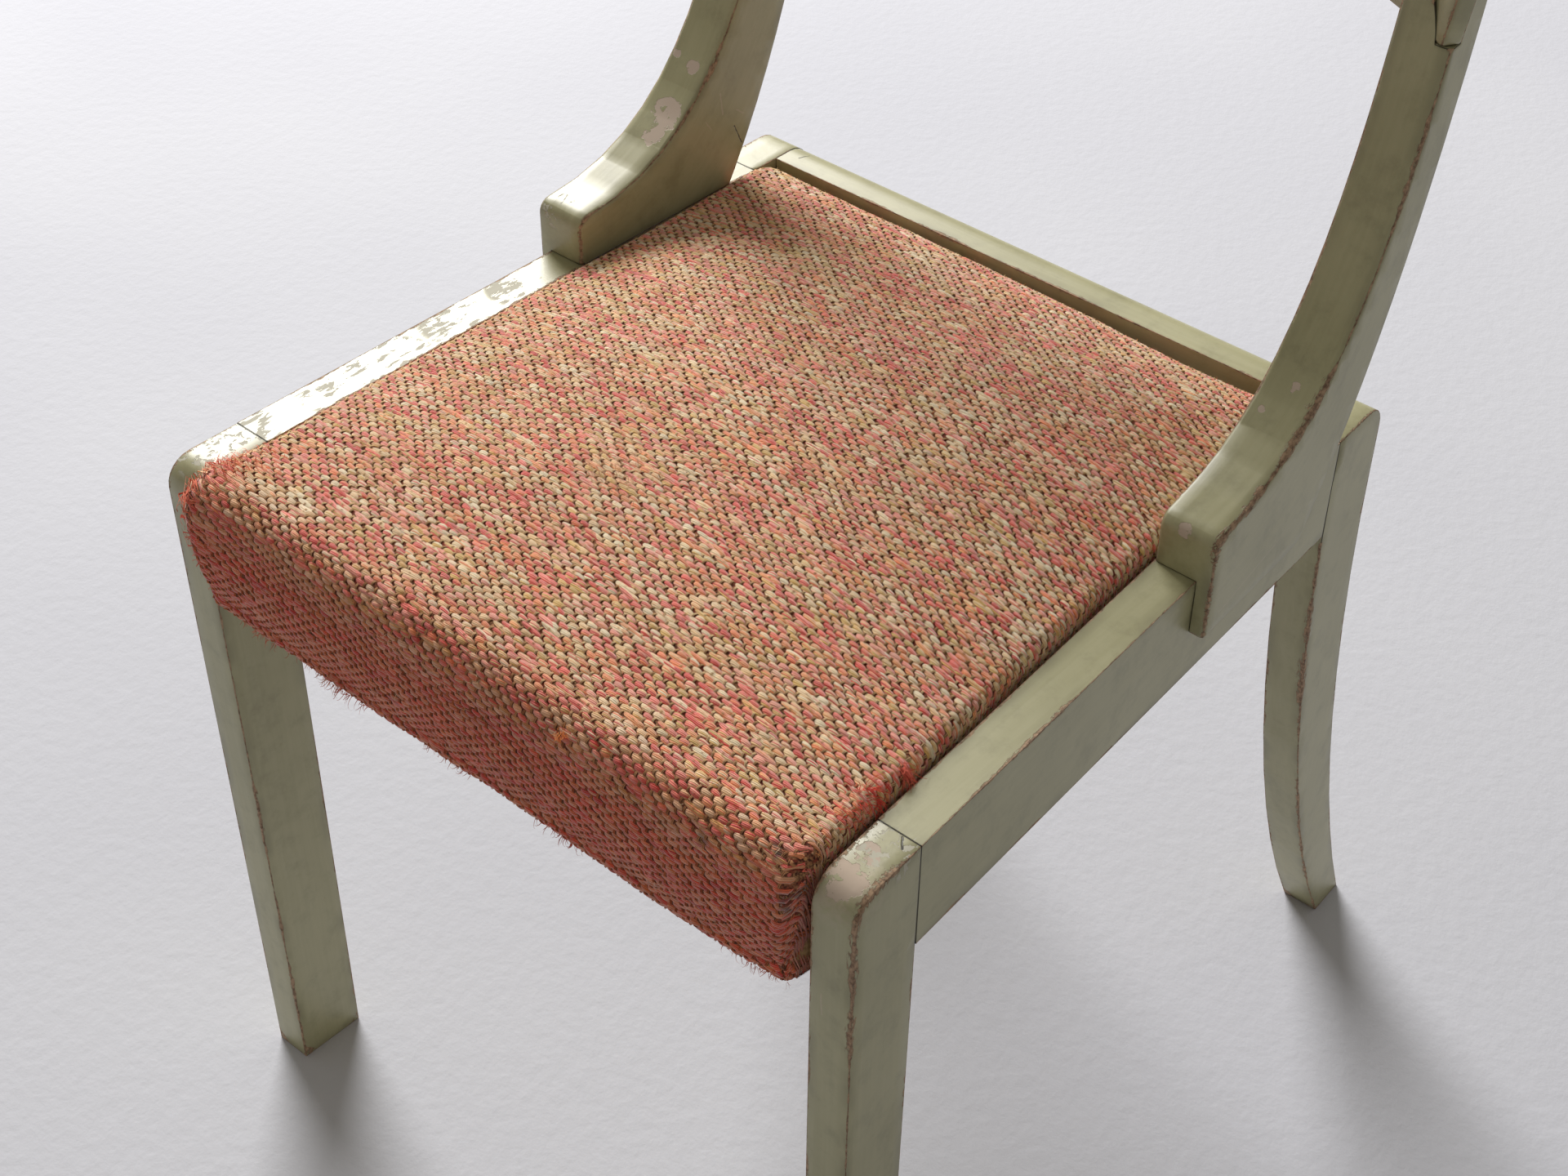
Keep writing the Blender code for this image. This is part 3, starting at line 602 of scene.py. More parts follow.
def raw_wood():
    shader = Shader("raw_beech")
    rings = shader.noise(shader.stretch(shader.place(), (9, 60, 60)), 6, 6, 0.6, 0.4)
    colour = shader.mix(rings.above(0.3, 0.7), srgb(196, 160, 116), srgb(150, 112, 74))
    shader.set(base_color=colour, roughness=0.75, normal=shader.bump(rings, 0.0006, 0.4))
    return shader.material


def jute():
    shader = Shader("jute")
    weave = shader.waves("X", 130.0) * shader.waves("Y", 130.0)
    colour = shader.mix(weave.above(0.1, 0.8), srgb(118, 92, 58), srgb(190, 160, 112))
    shader.set(base_color=colour, roughness=0.95, normal=shader.bump(weave, 0.0008, 0.8))
    return shader.material


def felt():
    shader = Shader("felt")
    tufts = shader.noise(shader.place(), 180, 6, 0.7)
    colour = shader.mix(tufts.above(0.3, 0.7), srgb(176, 164, 140), srgb(216, 208, 190))
    shader.set(base_color=colour, roughness=1.0, normal=shader.bump(tufts, 0.003, 0.7))
    return shader.material


def dress(start, material):
    for name, obj in nodes.items():
        if name.startswith(start):
            wear_only(obj, material)


dress(("seat_frame", "corner_block"), raw_wood())
dress("strap", jute())
dress("seat_stuffing", felt())

# %% [markdown]
# The cushion is a loose pad that drops between the rails. Its skin is one grid of points: over
# the top, round the edges and down the walls, so that rows and columns follow the two directions
# of the cloth. The sizes come from the seat's own solid. The outline is a little too small, and
# a cloth simulation with pressure inside fills it out like stuffing does.

# %% The pad's grid
SPLAY = 0.0355  # how far each side of the frame comes in, per metre of depth
SKIN_INSET = 0.0008  # the skin lies this far inside the solid's box, and the yarn stands on it
SIDE_ROUND = 0.0075  # of the top's edge along the rails
FRONT_ROUND = 0.0270  # and at the front, where legs have worn it round
BACK_ROUND = 0.0110
CORNER_ACROSS = 0.0080  # the corners of the outline are short across and long along the seat
CORNER_ALONG = 0.0220
CROWN = 0.0165  # how far the middle of the top stands above its edges
CROWN_POWER = 2.5
BARREL = 0.0040  # how far the walls draw in towards the bottom
FRONT_BELLY = 0.0035  # how far the front wall bulges
EDGE_SHARE = 0.24  # part of the way down a wall that is the rounded edge
EDGE_CELLS = 8
WALL_CELLS = 12
TOP_COLUMNS = 50
TOP_ROWS = 52

seat_low, seat_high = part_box("seat_cover")
rail_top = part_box("side_rail_right")[1].z
frame_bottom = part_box("seat_frame_left")[0].z
bar_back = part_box("seat_frame_front")[1].y


def stations(top_cells):
    """Steps over the seat: down one wall, over the top, down the other."""
    edge = [1 + EDGE_SHARE * i / EDGE_CELLS for i in range(EDGE_CELLS + 1)]
    wall = [1 + EDGE_SHARE + (1 - EDGE_SHARE) * i / WALL_CELLS for i in range(1, WALL_CELLS + 1)]
    down = edge + wall
    return np.array([-c for c in down[::-1]] + list(np.linspace(-1, 1, top_cells + 1)[1:-1]) + down)


def seat_form(across, along):
    """The seat's surface over a grid. Both run from -1 to 1 over the top and on to -2 and 2
    down the walls. Along starts at the back."""
    over_side = np.maximum(abs(across) - 1, 0)
    over_end = np.maximum(abs(along) - 1, 0)
    down = np.maximum(over_side, over_end)
    s, t = np.clip(across, -1, 1), np.clip(along, -1, 1)
    front = seat_low.y + SKIN_INSET
    back = seat_high.y - SKIN_INSET
    y = (front + back) / 2 - t * ((back - front) / 2 - CORNER_ALONG)
    half = seat_high.x - SKIN_INSET - SPLAY * (y - seat_low.y)
    x = s * (half - CORNER_ACROSS)
    edge_z = seat_high.z - CROWN - SKIN_INSET
    z = edge_z + CROWN * (1 - abs(s) ** CROWN_POWER) * (1 - abs(t) ** CROWN_POWER)
    share = np.minimum(over_side, over_end) / np.maximum(down, 1e-9)
    angle = np.radians(np.where(over_side >= over_end, 45 * share, 90 - 45 * share))
    turn = np.clip(down / EDGE_SHARE, 0, 1) * math.pi / 2
    fall = np.clip((down - EDGE_SHARE) / (1 - EDGE_SHARE), 0, 1)
    end_round = np.where(along > 0, FRONT_ROUND, BACK_ROUND)
    edge = SIDE_ROUND + (end_round - SIDE_ROUND) * np.sin(angle) ** 2

    def reach(corner):
        grown = (corner - edge) * np.minimum(down / EDGE_SHARE, 1) + edge * np.sin(turn)
        return (grown - BARREL * fall**2) * (down > 0)

    x = x + np.sign(across) * np.cos(angle) * reach(CORNER_ACROSS)
    belly = FRONT_BELLY * np.sin(math.pi * fall) * (along > 1)
    y = y - np.sign(along) * np.sin(angle) * (reach(CORNER_ALONG) + belly)
    wall = edge_z - edge - seat_low.z
    z = z - edge * (1 - np.cos(turn)) - wall * fall
    return np.stack([x, y, z], axis=-1)


columns = stations(TOP_COLUMNS)
rows = stations(TOP_ROWS)
flat_pad = seat_form(*np.meshgrid(columns, rows))
print("pad grid:", flat_pad.shape)

# %% [markdown]
# The simulation blows the skin up for twenty frames with no gravity. Its lower border is held
# where the cloth would be tacked. How far a point may move is capped, because real stuffing is
# firm.

# %% Filling the cushion
PRESSURE = 4.0
FRAMES = 20
MOST_MOVE = 0.0030


def skin_mesh(name, grid):
    """A grid of points as a mesh, by way of the grid operator, so that it starts with no folds."""
    tall, wide = grid.shape[:2]
    mesh = bmesh.new()
    bmesh.ops.create_grid(mesh, x_segments=wide - 1, y_segments=tall - 1, size=1)
    mesh.verts.ensure_lookup_table()
    for vert, place in zip(mesh.verts, grid.reshape(-1, 3)):
        vert.co = place
    bmesh.ops.recalc_face_normals(mesh, faces=mesh.faces)
    return add(name, to_data(mesh, name))


def blow_up(piece, held):
    """Where the cloth simulation moves the points of the skin."""
    group = piece.vertex_groups.new(name="held")
    group.add(held, 1.0, "REPLACE")
    cloth = piece.modifiers.new("Cloth", "CLOTH")
    cloth.settings.vertex_group_mass = "held"
    cloth.settings.use_pressure = True
    cloth.settings.uniform_pressure_force = PRESSURE
    cloth.settings.effector_weights.gravity = 0
    scene = bpy.context.scene
    for k in range(1, FRAMES + 1):
        scene.frame_set(k)
    blown = points_of(piece.evaluated_get(bpy.context.evaluated_depsgraph_get()).data)
    piece.modifiers.clear()
    scene.frame_set(1)
    return blown


def capped(start, end, most):
    """The end points, drawn back to within the most distance of the start points."""
    move = end - start
    length = np.linalg.norm(move, axis=-1, keepdims=True)
    return start + move * np.minimum(1, most / np.maximum(length, 1e-9))


def border(grid, rings=2):
    """The numbers of the grid's points that lie in its outer rings."""
    index = np.arange(grid.shape[0] * grid.shape[1]).reshape(grid.shape[:2])
    sides = index[:rings], index[-rings:], index[:, :rings], index[:, -rings:]
    return np.unique(np.concatenate([side.ravel() for side in sides])).tolist()


pad_piece = skin_mesh("cushion_pad", flat_pad)
full_pad = flat_pad
blown = blow_up(pad_piece, border(flat_pad)).reshape(flat_pad.shape)
full_pad = capped(flat_pad, blown, MOST_MOVE)
most_moved = float(np.linalg.norm(full_pad - flat_pad, axis=-1).max())
print("the skin moved by up to", round(most_moved * 1000, 2), "mm")

# %% [markdown]
# A few lumps and pushes then give this cushion its own shape: the left front corner sags out
# over the leg, the right front corner is drawn in, and the back edge stands away from the rail
# near the right.

# %% The cushion's own shape
LUMPS = (0.085, 3, 0.0007), (0.040, 4, 0.0007 / 3)  # size, seed and height
PUSHES = [  # centre, radius and move
    ((-seat_high.x, seat_low.y + 0.014, seat_low.z + 0.052), 0.026, (-0.0075, -0.0035, 0.001)),
    ((0.13, seat_high.y, rail_top), 0.07, (0, -0.004, 0)),
    ((seat_high.x, seat_low.y + 0.006, seat_low.z + 0.02), 0.026, (-0.0008, 0.003, 0.002)),
]


def wave(points, size, seed):
    """Smooth bumps from a few sines in random directions, from about -1 to 1."""
    dice = np.random.default_rng(seed)
    total = 0
    for k in range(6):
        way = dice.normal(size=3)
        way *= 2 * math.pi / size / np.linalg.norm(way)
        total = total + np.sin(points @ way + dice.uniform(0, 6.28)) / 3
    return total


def own_shape(points):
    """Lumps along the normals, then each push, which fades away from its centre."""
    lumps = sum(wave(points, size, seed) * height for size, seed, height in LUMPS)
    points = points + normals_of(points) * lumps[..., None]
    for centre, radius, move in PUSHES:
        near = np.exp(-((points - np.array(centre)) ** 2).sum(axis=-1) / radius**2)
        points = points + near[..., None] * np.array(move)
    return points


def between_rails(pad):
    """Keeps the walls inside the side rails, behind the front legs' faces."""
    leg_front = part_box("front_leg_right")[0].y
    half = seat_high.x - SKIN_INSET - SPLAY * (pad[..., 1] - seat_low.y)
    inside = (pad[..., 1] > leg_front) & (pad[..., 2] < rail_top - SIDE_ROUND / 2)
    pad[..., 0] = np.where(inside, np.clip(pad[..., 0], -half, half), pad[..., 0])
    return pad


def normals_of(grid):
    """The grid's outward normals, from how it runs across and along."""
    across = np.gradient(grid, axis=1)
    along = np.gradient(grid, axis=0)
    normal = np.cross(along, across)
    normal /= np.maximum(np.linalg.norm(normal, axis=-1, keepdims=True), 1e-12)
    return normal


middle_row, middle_column = len(rows) // 2, len(columns) // 2
pad = between_rails(own_shape(full_pad))
pad_normal = normals_of(pad)
print("a normal in the middle of the top:", pad_normal[middle_row, middle_column].round(2))

# %% [markdown]
# Under the frame the real cloth is tacked and trimmed. So the skin ends below the side bars, and
# only the front wall runs down over the deep front bar. The skin shows only in the gaps of the
# weave. Its colours are the cloth's reds and beiges, mixed with a dark brown-red that is painted
# shade, the shade deep in the weave.

# %% The finished pad
SKIN_THICK = 0.0018
SKIN_PAST_BAR = 0.012  # how far behind the front bar the lowest skin is kept


def low_behind(place):
    return place.z < frame_bottom and place.y > bar_back + SKIN_PAST_BAR


def finish_pad():
    data = pad_piece.data
    data.vertices.foreach_set("co", pad.astype(np.float32).ravel())
    mesh = bmesh.new()
    mesh.from_mesh(data)
    spare = [face for face in mesh.faces if low_behind(face.calc_center_median())]
    bmesh.ops.delete(mesh, geom=spare, context="FACES")
    bmesh.ops.recalc_face_normals(mesh, faces=mesh.faces)
    mesh.to_mesh(data)
    mesh.free()
    data.update()
    thick = pad_piece.modifiers.new("Thickness", "SOLIDIFY")
    thick.thickness = SKIN_THICK
    thick.offset = -1
    data.shade_smooth()
    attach(pad_piece, "root")
    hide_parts("seat_cover")
    shader = Shader("cloth_depths_painted_shade")
    fuzz = shader.noise(shader.place(), 900, 3)
    rows_shown = shader.noise(shader.stretch(shader.place(), (180, 180, 420)), 1, 3)
    yarns = shader.mix(rows_shown.above(0.4, 0.6), srgb(150, 66, 48), srgb(190, 142, 100))
    # The dark brown-red is painted shade in the gaps of the weave.
    tone = shader.mix(fuzz.above(0.35, 0.6) * 0.7, srgb(72, 36, 24), yarns)
    shader.set(base_color=tone, roughness=1.0, normal=shader.bump(fuzz, 0.0006, 0.6))
    data.materials.append(shader.material)
    print(pad_piece.name, len(data.polygons), "faces,", len(spare), "trimmed off")


finish_pad()

# %% [markdown]
# The stuffing has the shape of its solid. Where that comes too near the skin, which the filling
# and the pushes have moved, its points are drawn in.

# %% Stuffing under the skin
STUFFING_DEPTH = 0.0045
WELL_INSIDE = Vector((0, 0, -0.05))  # from the middle of the top


def shaped_stuffing():
    data = nodes["seat_stuffing"].data.copy()
    data.name = "felt_stuffing"
    skin = pad_piece.data
    faces = [list(face.vertices) for face in skin.polygons]
    tree = BVHTree.FromPolygons([vert.co for vert in skin.vertices], faces)
    centre = Vector(pad[middle_row, middle_column]) + WELL_INSIDE
    moved = 0
    for vert in data.vertices:
        place, normal, _, _ = tree.find_nearest(vert.co)
        if normal.dot(place - centre) < 0:
            normal = -normal
        if (vert.co - place).dot(normal) > -STUFFING_DEPTH:
            vert.co = place - normal * STUFFING_DEPTH
            moved += 1
    print("stuffing points drawn in:", moved, "of", len(data.vertices))
    piece = add("felt_stuffing", data)
    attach(piece, "root")
    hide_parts("seat_stuffing")


shaped_stuffing()

# %% [markdown]
# The cover is a plain weave. Thick weft bundles of several strands float over the thin warp
# pairs, dive, and come up again. One float is a small domed patch with strands along it. The
# Array modifier repeats it in rows and columns, which keeps each copy's points together, and
# every copy is then laid onto the pad at its own place.

# %% One float, many times
PERIOD = 0.0070  # from one float of a row to the next
ROW = 0.0026  # from one row to the next
FLOAT_LONG = 0.0076
FLOAT_WIDE = 0.0031
FLOAT_HIGH = 0.0008
DIVE = 0.0005  # how deep a float's ends go under the warp
PATCHES = 3  # pieces that the weave is divided into
SIDE_REACH = 1.50  # how far down the side walls yarn is laid
BACK_REACH = 1.25
CORNER_DEEP = 0.015  # over this length below the edge the columns are drawn apart
CORNER_SPREAD = 4
APART = 3  # between the copies of a template that runs from -1 to 1


def runs(points):
    """Distance along a line of points."""
    return np.r_[0, np.cumsum(np.linalg.norm(np.diff(points, axis=0), axis=1))]


across_run = runs(pad[middle_row])
across_run -= across_run[middle_column]
along_run = runs(pad[:, middle_column])
SIDE = float(np.interp(SIDE_REACH, columns, across_run))
BACK = float(np.interp(-BACK_REACH, rows, along_run))
FRONT = float(along_run[-1])
EDGE_U = float(np.interp(1, columns, across_run))
EDGE_V = float(np.interp(1, rows, along_run))
COLUMN_COUNT = round(2 * SIDE / PERIOD)
ROW_COUNT = round((FRONT - BACK) / ROW)


def on_pad(u, v, height):
    """Places over the pad: u from its middle line, v from its back border, both along the cloth.
    Round the front corners the columns would bunch, so they are drawn apart there."""
    excess = np.maximum(np.abs(u) - EDGE_U, 0)
    lower = np.clip((v - EDGE_V) / CORNER_DEEP, 0, 1)
    u = u + np.sign(u) * excess * CORNER_SPREAD * lower
    j = np.interp(u, across_run, np.arange(len(columns)))
    i = np.interp(v, along_run, np.arange(len(rows)))
    i0 = np.clip(i.astype(int), 0, len(rows) - 2)
    j0 = np.clip(j.astype(int), 0, len(columns) - 2)
    fi, fj = (i - i0)[..., None], (j - j0)[..., None]

    def between(grid):
        upper = grid[i0, j0] * (1 - fj) + grid[i0, j0 + 1] * fj
        lower = grid[i0 + 1, j0] * (1 - fj) + grid[i0 + 1, j0 + 1] * fj
        return upper * (1 - fi) + lower * fi

    return between(pad) + between(pad_normal) * height[..., None]


def repeated(name, wide, tall, columns_made, rows_made):
    """A small grid from -1 to 1, repeated in columns and rows, and the points of one copy. The
    cloth's v runs to the front, so the faces are reversed to look outwards."""
    mesh = bmesh.new()
    bmesh.ops.create_grid(mesh, x_segments=wide, y_segments=tall, size=1)
    bmesh.ops.reverse_faces(mesh, faces=mesh.faces)
    piece = add(name, to_data(mesh, name))
    template = points_of(piece.data)[:, :2]
    steps = ("Columns", columns_made, (APART, 0, 0)), ("Rows", rows_made, (0, APART, 0))
    for label, count, offset in steps:
        array = piece.modifiers.new(label, "ARRAY")
        array.count = count
        array.use_relative_offset = False
        array.use_constant_offset = True
        array.constant_offset_displace = offset
    graph = bpy.context.evaluated_depsgraph_get()
    solid = bpy.data.meshes.new_from_object(piece.evaluated_get(graph))
    piece.modifiers.clear()
    piece.data = solid
    solid.name = name
    return piece, template


def yarn_piece(piece, points, strand, **colours):
    """Lays the copies out at their points. Each colour is given to all the points of its copy,
    and strand is three values that say where a point is on its copy."""
    data = piece.data
    data.vertices.foreach_set("co", points.astype(np.float32).ravel())
    ones = np.ones(points.shape[:-1] + (1,))
    for name, values in colours.items():
        tint = np.broadcast_to(np.expand_dims(values, -2), points.shape)
        store(data, name, "FLOAT_COLOR", np.concatenate([tint, ones], axis=-1))
    if strand:
        store(data, "strand", "FLOAT_VECTOR", np.stack(np.broadcast_arrays(*strand), axis=-1))
    data.update()
    data.shade_smooth()
    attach(piece, "root")
    return piece


print("cloth:", round(2 * SIDE, 3), "by", round(FRONT - BACK, 3), "m,", COLUMN_COUNT, "by", ROW_COUNT)

# %% [markdown]
# Rows of mostly beige yarn and rows of mostly pink, red and orange yarn take turns. A strand
# often keeps its colour for a few floats. Towards the front wall the colours are made darker and
# redder: partly because the sun has faded the top more, and partly as painted shade, because the
# wall faces away from the lamp.

# %% The yarn's colours
BEIGE = [(254, 222, 176), (250, 212, 162), (255, 234, 196), (250, 206, 148), (232, 188, 104)]
WARM = [
    (254, 136, 118), (248, 106, 88), (230, 70, 54), (254, 144, 88), (254, 168, 106), (252, 164, 142),
]
THREADS = [(206, 168, 120), (184, 144, 98), (222, 190, 142)]
# The front wall's tint: painted shade, with some real fading of the top.
FRONT_PAINTED_SHADE = np.array([0.80, 0.28, 0.18])
PAINTED_SHADE_START = FRONT - 0.095
PAINTED_SHADE_RUN = 0.05
WARM_SHARE = 0.90  # how many floats of a warm row are warm
BEIGE_SHARE = 0.66
KEEP_SHARE = 0.45  # how many floats have the colour of the one before
dice = np.random.default_rng(11)


def palette(colours):
    return np.array([srgb(*colour) for colour in colours])


def strand_colours(shape, own_share, own, other):
    """A colour for each float of some rows, kept along the row for a few floats."""
    tall, wide = shape
    picked = np.where(
        (dice.random(shape) < own_share)[..., None],
        palette(own)[dice.integers(len(own), size=shape)],
        palette(other)[dice.integers(len(other), size=shape)],
    )
    for k in range(1, wide):
        keep = dice.random(tall) < KEEP_SHARE
        picked[keep, k] = picked[keep, k - 1]
    return picked * dice.uniform(0.82, 1.12, size=(tall, wide, 1))


def row_colours(warm, warm_share, beige_share):
    """Warm colours in the warm rows and beige ones in the others."""
    shape = (len(warm), COLUMN_COUNT)
    warm_rows = strand_colours(shape, warm_share, WARM, BEIGE)
    beige_rows = strand_colours(shape, beige_share, BEIGE, WARM)
    return np.where(warm[..., None], warm_rows, beige_rows)


# Painted shade that grows from the front of the top down the front wall.
def painted_front_shade(v):
    front = np.clip((v - PAINTED_SHADE_START) / PAINTED_SHADE_RUN, 0, 1)[..., None]
    return 1 - front * (1 - FRONT_PAINTED_SHADE)


print("yarn colours:", len(BEIGE), "beige,", len(WARM), "warm,", len(THREADS), "for the threads")

# %% [markdown]
# The floats of every other row stand half a step along. Coarse cloth is never even, so rows
# sway, and each float has its own length, width, height and slant. Some run over two steps.
# Each carries two colours for its strands.

# %% The weft
FLOAT_JITTER = 0.00022
ROW_JITTER = 0.00016
SLANT = 0.09
WARM_SLANT = 0.03
WARM_DOUBLES = 0.22  # how many floats of a warm row run over two steps
BEIGE_DOUBLES = 0.04


def laid_out(index, shifted, jitter, row_jitter):
    """The crossings of some rows. Shifted rows stand half a step along, and all rows sway."""
    shape = (len(index), COLUMN_COUNT)
    u = (np.arange(COLUMN_COUNT) - (COLUMN_COUNT - 1) / 2)[None] * PERIOD
    u = u + shifted[:, None] * PERIOD / 2 - PERIOD / 4 + dice.normal(0, jitter, shape)
    v = BACK + (index + 0.5)[:, None] * ROW + dice.normal(0, row_jitter, shape)
    v = v + 0.0009 * np.sin(u * 21 + index[:, None] * 0.07) + 0.0005 * np.sin(u * 57)
    return u, v


def each(values):
    return values[..., None]


def weft(start, stop, name):
    """The weft floats of the rows from start to stop."""
    piece, template = repeated(name, 6, 4, COLUMN_COUNT, stop - start)
    s, t = template[:, 0], template[:, 1]
    index = np.arange(start, stop)
    warm = (index % 2 == 1)[:, None]
    shape = (stop - start, COLUMN_COUNT)
    colour = row_colours(warm, WARM_SHARE, BEIGE_SHARE)
    second = row_colours(warm, 0.55, 0.50)
    u, v = laid_out(index, index % 2, FLOAT_JITTER, ROW_JITTER)
    long = FLOAT_LONG * dice.uniform(0.88, 1.12, shape)
    double = dice.random(shape) < np.where(warm, WARM_DOUBLES, BEIGE_DOUBLES)
    double[:, -1] = False
    u = u + double * PERIOD / 2
    long = long + double * PERIOD
    wide_by = FLOAT_WIDE * dice.uniform(0.88, 1.15, shape) * np.where(warm, 0.96, 1.06)
    high = FLOAT_HIGH * dice.uniform(0.78, 1.15, shape)
    slant = dice.normal(SLANT, 0.05, shape) + WARM_SLANT * warm
    phase = dice.uniform(0, 6.28, shape)

    end = 1 - np.abs(s) ** 2.2
    body = np.sqrt(np.maximum(0, 1 - t**2))
    strands = 0.10 * np.cos(3 * math.pi * t + 2.2 * s + each(phase))
    rise = np.maximum(end, 0) ** 0.8
    height = each(high) * rise * (0.65 + 0.35 * body + strands) - DIVE * (1 - end * body)
    half_wide = each(wide_by) / 2 * (1 - 0.52 * np.abs(s) ** 2.4)
    place_u = each(u) + s * each(long) / 2
    place_v = each(v) + t * half_wide + each(slant * long) * s / 2
    points = on_pad(place_u, place_v, height)
    # Painted shade on the floats towards the front wall.
    shade = painted_front_shade(v)
    colours = {"yarn": colour * shade, "second_yarn": second * shade}
    return yarn_piece(piece, points, (s, t, each(phase)), **colours)


starts = [round(ROW_COUNT * k / PATCHES) for k in range(PATCHES + 1)]
weft_pieces = [weft(starts[k], starts[k + 1], f"weft_{k + 1}") for k in range(PATCHES)]
print("weft:", [len(piece.data.polygons) for piece in weft_pieces], "faces")

# %% [markdown]
# The warp is thin: two threads side by side come up between the ends of the floats, pass over
# the row and go down again. A copy is one crossing of a pair.

# %% The warp
PAIR_JITTER = 0.00016
PAIR_ROW_JITTER = 0.0001
PAIR_LEAN = 0.00028
PAIR_HIGH = 0.0012
PAIR_HALF_WIDE = 0.00062
CROSSING = 0.62  # half of a pair's length, in rows


def warp():
    piece, template = repeated("warp_pairs", 4, 2, COLUMN_COUNT, ROW_COUNT)
    s, t = template[:, 0], template[:, 1]
    shape = (ROW_COUNT, COLUMN_COUNT)
    index = np.arange(ROW_COUNT)
    u, v = laid_out(index, 1 - index % 2, PAIR_JITTER, PAIR_ROW_JITTER)
    lean = each(dice.normal(0.0, PAIR_LEAN, shape))
    two_humps = np.abs(np.sin(math.pi * s))
    height = PAIR_HIGH * (1 - 0.75 * t**2) * (0.30 + 0.70 * two_humps) - 0.0001
    place_u = each(u) + s * PAIR_HALF_WIDE + lean * t
    place_v = each(v) + t * ROW * CROSSING
    points = on_pad(place_u, place_v, np.broadcast_to(height, place_u.shape))
    # The warp gets the same painted shade on the front wall.
    tone = palette(THREADS)[dice.integers(len(THREADS), size=shape)] * painted_front_shade(v)
    return yarn_piece(piece, points, (s, t, lean), yarn=tone)


warp_piece = warp()
print("warp:", len(warp_piece.data.polygons), "faces")

# %% [markdown]
# Up close a float is a bundle of twisted strands with grooves between them. They are drawn
# from the strand attribute, which says where a point is on its float. Painted shade darkens the
# grooves, the ends where a float dives under the warp and its rims. Blue-grey stains are spots
# on the cloth, and a small hole is a spot of painted shade.

# %% Yarn shaders
STAINS = [
    ((0.1894, -0.2641, 0.4257), 0.011),
    ((0.1414, -0.2679, 0.4335), 0.006),
    ((0.1753, -0.2582, 0.4448), 0.007),
    ((0.1915, -0.2592, 0.433), 0.008),
]
HOLE = [((-0.1287, -0.2142, 0.4530), 0.0022)]
SHADE_IN_GROOVES = srgb(96, 34, 22)
SHADE_BETWEEN_THREADS = srgb(104, 60, 40)
SHADE_IN_THE_HOLE = srgb(84, 40, 30)
BLUE_GREY = srgb(92, 96, 116)
WHITE = srgb(255, 255, 255)


def yarn_material():
    """Each strand of a float takes either of the float's two colours."""
    shader = Shader("yarn")
    s, t, phase = shader.split(shader.attribute("strand", "Vector"))
    turn = t * 2.0 + s * 0.7 + phase
    which = turn.math("FLOOR")
    within = turn - which
    ply = within * (1 - within) * 4
    seed = shader.node("ShaderNodeCombineXYZ", {}, {"X": which, "Y": phase})
    flat = {"noise_dimensions": "2D"}
    luck = shader.node("ShaderNodeTexWhiteNoise", flat, {"Vector": seed}, "Value")
    fine = shader.noise(shader.stretch(shader.place(), (500, 1600, 1600)), 1, 2)
    first, second = (shader.attribute(name, "Color") for name in ("yarn", "second_yarn"))
    colour = shader.mix(luck.above(0.38, 0.62), first, second)
    # Painted shade: darker in the grooves between strands, at the float's ends and along its rims.
    groove_shade = ply.above(0.0, 0.8) * 0.5 + 0.5
    sunk_shade = (s * s).above(1.05, 0.6) * 0.4 + 0.6
    rim_shade = (t * t).above(1.1, 0.6) * 0.3 + 0.7
    # The painted shade, times a random brightness for each strand.
    shade_and_tone = groove_shade * sunk_shade * rim_shade * (fine * 0.5 + luck * 0.6 + 0.9)
    painted_shade = shader.mix(shade_and_tone.clip(), SHADE_IN_GROOVES, WHITE)
    colour = shader.multiply(1.0, colour, painted_shade)
    blots = shader.noise(shader.place(), 220, 3).above(0.38, 0.6)
    colour = shader.multiply(shader.near(STAINS) * blots * 0.85, colour, BLUE_GREY)
    # The small hole is a dark spot of painted shade.
    colour = shader.multiply(shader.near(HOLE) * 0.9, colour, SHADE_IN_THE_HOLE)
    rough = fine * 0.1 + 0.72
    shader.set(base_color=colour, roughness=rough, normal=shader.bump(ply + fine, 0.0004, 0.8))
    shader.surface.inputs["Sheen Weight"].default_value = 0.8
    shader.surface.inputs["Sheen Roughness"].default_value = 0.5
    return shader.material


def thread_material():
    shader = Shader("warp_thread")
    s = shader.split(shader.attribute("strand", "Vector"))[0]
    on_thread = (s * math.pi).math("SINE").math("ABSOLUTE")
    tone = shader.attribute("yarn", "Color")
    # Painted shade in the narrow gap between the two threads of a pair.
    colour = shader.mix(on_thread.above(0.35, 0.9), SHADE_BETWEEN_THREADS, tone)
    shader.set(base_color=colour, roughness=on_thread * 0.05 + 0.8)
    return shader.material


yarn = yarn_material()
for piece in weft_pieces:
    wear_only(piece, yarn)
wear_only(warp_piece, thread_material())

# %% [markdown]
# Sat on for years, the cloth is fuzzy: short broken fibres stand up all over it, and at the left
# front corner and along the lower edge whole yarns have frayed out in tufts. A fibre is a narrow
# strip of four faces, repeated like the floats. A tuft is many fibres from nearly one place.

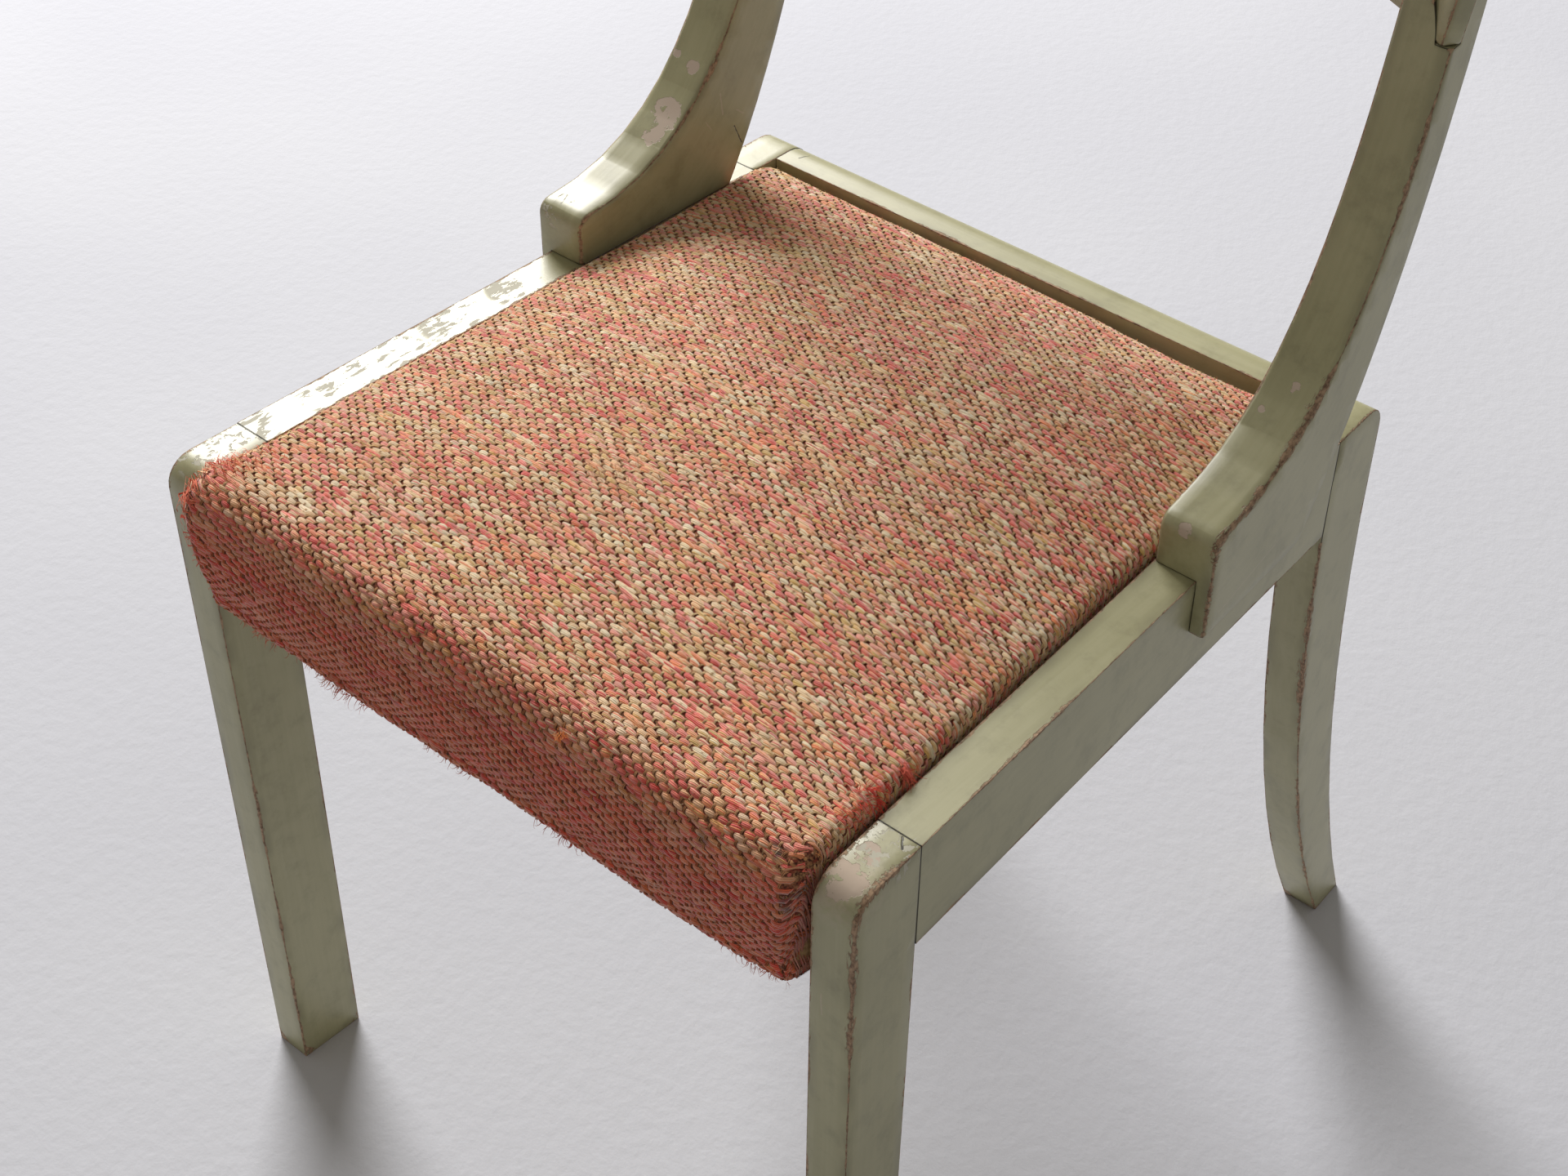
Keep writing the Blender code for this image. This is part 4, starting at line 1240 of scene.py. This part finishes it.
# %% Fuzz and tufts
FUZZ = 5200
FUZZ_HALF_WIDE = 0.00007
TUFT_HALF_WIDE = 0.00014
LIFTED = 0.0007  # above the skin, so that a fibre starts in the yarn
LOW_EDGE = 0.01  # fibres that start nearer the lower edge hang down over it
TUFTS = [  # u from -1 to 1 over the top, metres before the lower edge, spread, fibres, length, colour
    (-1.035, 0.076, 0.0025, 170, 0.012, (246, 204, 164)),
    (-1.03, 0.066, 0.004, 190, 0.01, (236, 130, 104)),
    (-1.02, 0.088, 0.005, 110, 0.009, (232, 116, 90)),
    (-0.96, 0.098, 0.008, 70, 0.007, (236, 126, 96)),
    (-1.03, 0.045, 0.012, 160, 0.005, (226, 100, 80)),
    (-0.8, 0.001, 0.01, 60, 0.004, (206, 110, 86)),
    (-0.56, 0.001, 0.007, 46, 0.005, (214, 140, 104)),
    (-0.48, 0.001, 0.009, 60, 0.005, (206, 90, 70)),
    (-0.1, 0.001, 0.01, 46, 0.004, (206, 100, 76)),
    (0.3, 0.001, 0.01, 46, 0.004, (198, 96, 76)),
    (0.93, 0.001, 0.01, 60, 0.004, (206, 110, 90)),
    (1.03, 0.143, 0.0015, 60, 0.009, (222, 104, 84)),
    (1.015, 0.122, 0.004, 90, 0.007, (220, 70, 52)),
    (1.01, 0.108, 0.005, 60, 0.005, (226, 84, 64)),
    (0.31, 0.066, 0.0015, 44, 0.005, (246, 150, 80)),
    (-0.16, 0.195, 0.011, 260, 0.004, (240, 196, 164)),
]


def fibres():
    """Thin strips that rise from the cloth and bend over."""
    count = FUZZ + sum(tuft[3] for tuft in TUFTS)
    piece, template = repeated("fibres", 4, 1, count, 1)
    u = dice.uniform(-SIDE * 0.97, SIDE * 0.97, count)
    v = dice.uniform(BACK * 0.9, FRONT * 0.995, count)
    long = dice.uniform(0.0015, 0.0042, count)
    rise = dice.uniform(0.0003, 0.0014, count)
    tone = palette(BEIGE + WARM)[dice.integers(len(BEIGE) + len(WARM), size=count)]
    heading = dice.uniform(0, 2 * math.pi, count)
    half_wide = np.full(count, FUZZ_HALF_WIDE)
    first = FUZZ
    for side, before, spread, number, reach, colour in TUFTS:
        part = slice(first, first + number)
        first += number
        half_wide[part] = TUFT_HALF_WIDE
        u[part] = side * EDGE_U + dice.normal(0, spread, number)
        v[part] = np.minimum(FRONT - before + dice.normal(0, spread, number), FRONT)
        long[part] = reach * dice.uniform(0.35, 1.0, number)
        rise[part] = long[part] * dice.uniform(0.15, 0.7, number)
        tone[part] = np.array(srgb(*colour)) * dice.uniform(0.7, 1.15, (number, 1))
        sideways = math.pi if side < 0 else 0
        outward = math.pi / 2 if before < LOW_EDGE else sideways
        heading[part] = outward + dice.normal(0, 0.7, number)
    s, t = template[:, 0], template[:, 1]
    along = (s + 1) / 2
    bend = each(dice.normal(0, 0.9, count)) * along
    way = each(heading) + bend
    half = t * each(half_wide) * (1.2 - along)
    place_u = each(u) + np.cos(way) * along * each(long) - np.sin(way) * half
    place_v = each(v) + np.sin(way) * along * each(long) + np.cos(way) * half
    below = np.maximum(place_v - FRONT, 0)
    beyond = below + np.maximum(np.abs(place_u) - SIDE, 0)
    height = LIFTED + each(rise) * np.sin(along * 2.2) + beyond * 0.3
    points = on_pad(place_u, np.minimum(place_v, FRONT), height)
    points[..., 2] -= below
    yarn_piece(piece, points, (), yarn=tone)
    shader = Shader("fibre")
    shader.set(base_color=shader.attribute("yarn", "Color"), roughness=0.9)
    wear_only(piece, shader.material)
    print(piece.name, count, "fibres,", len(piece.data.polygons), "faces")


fibres()
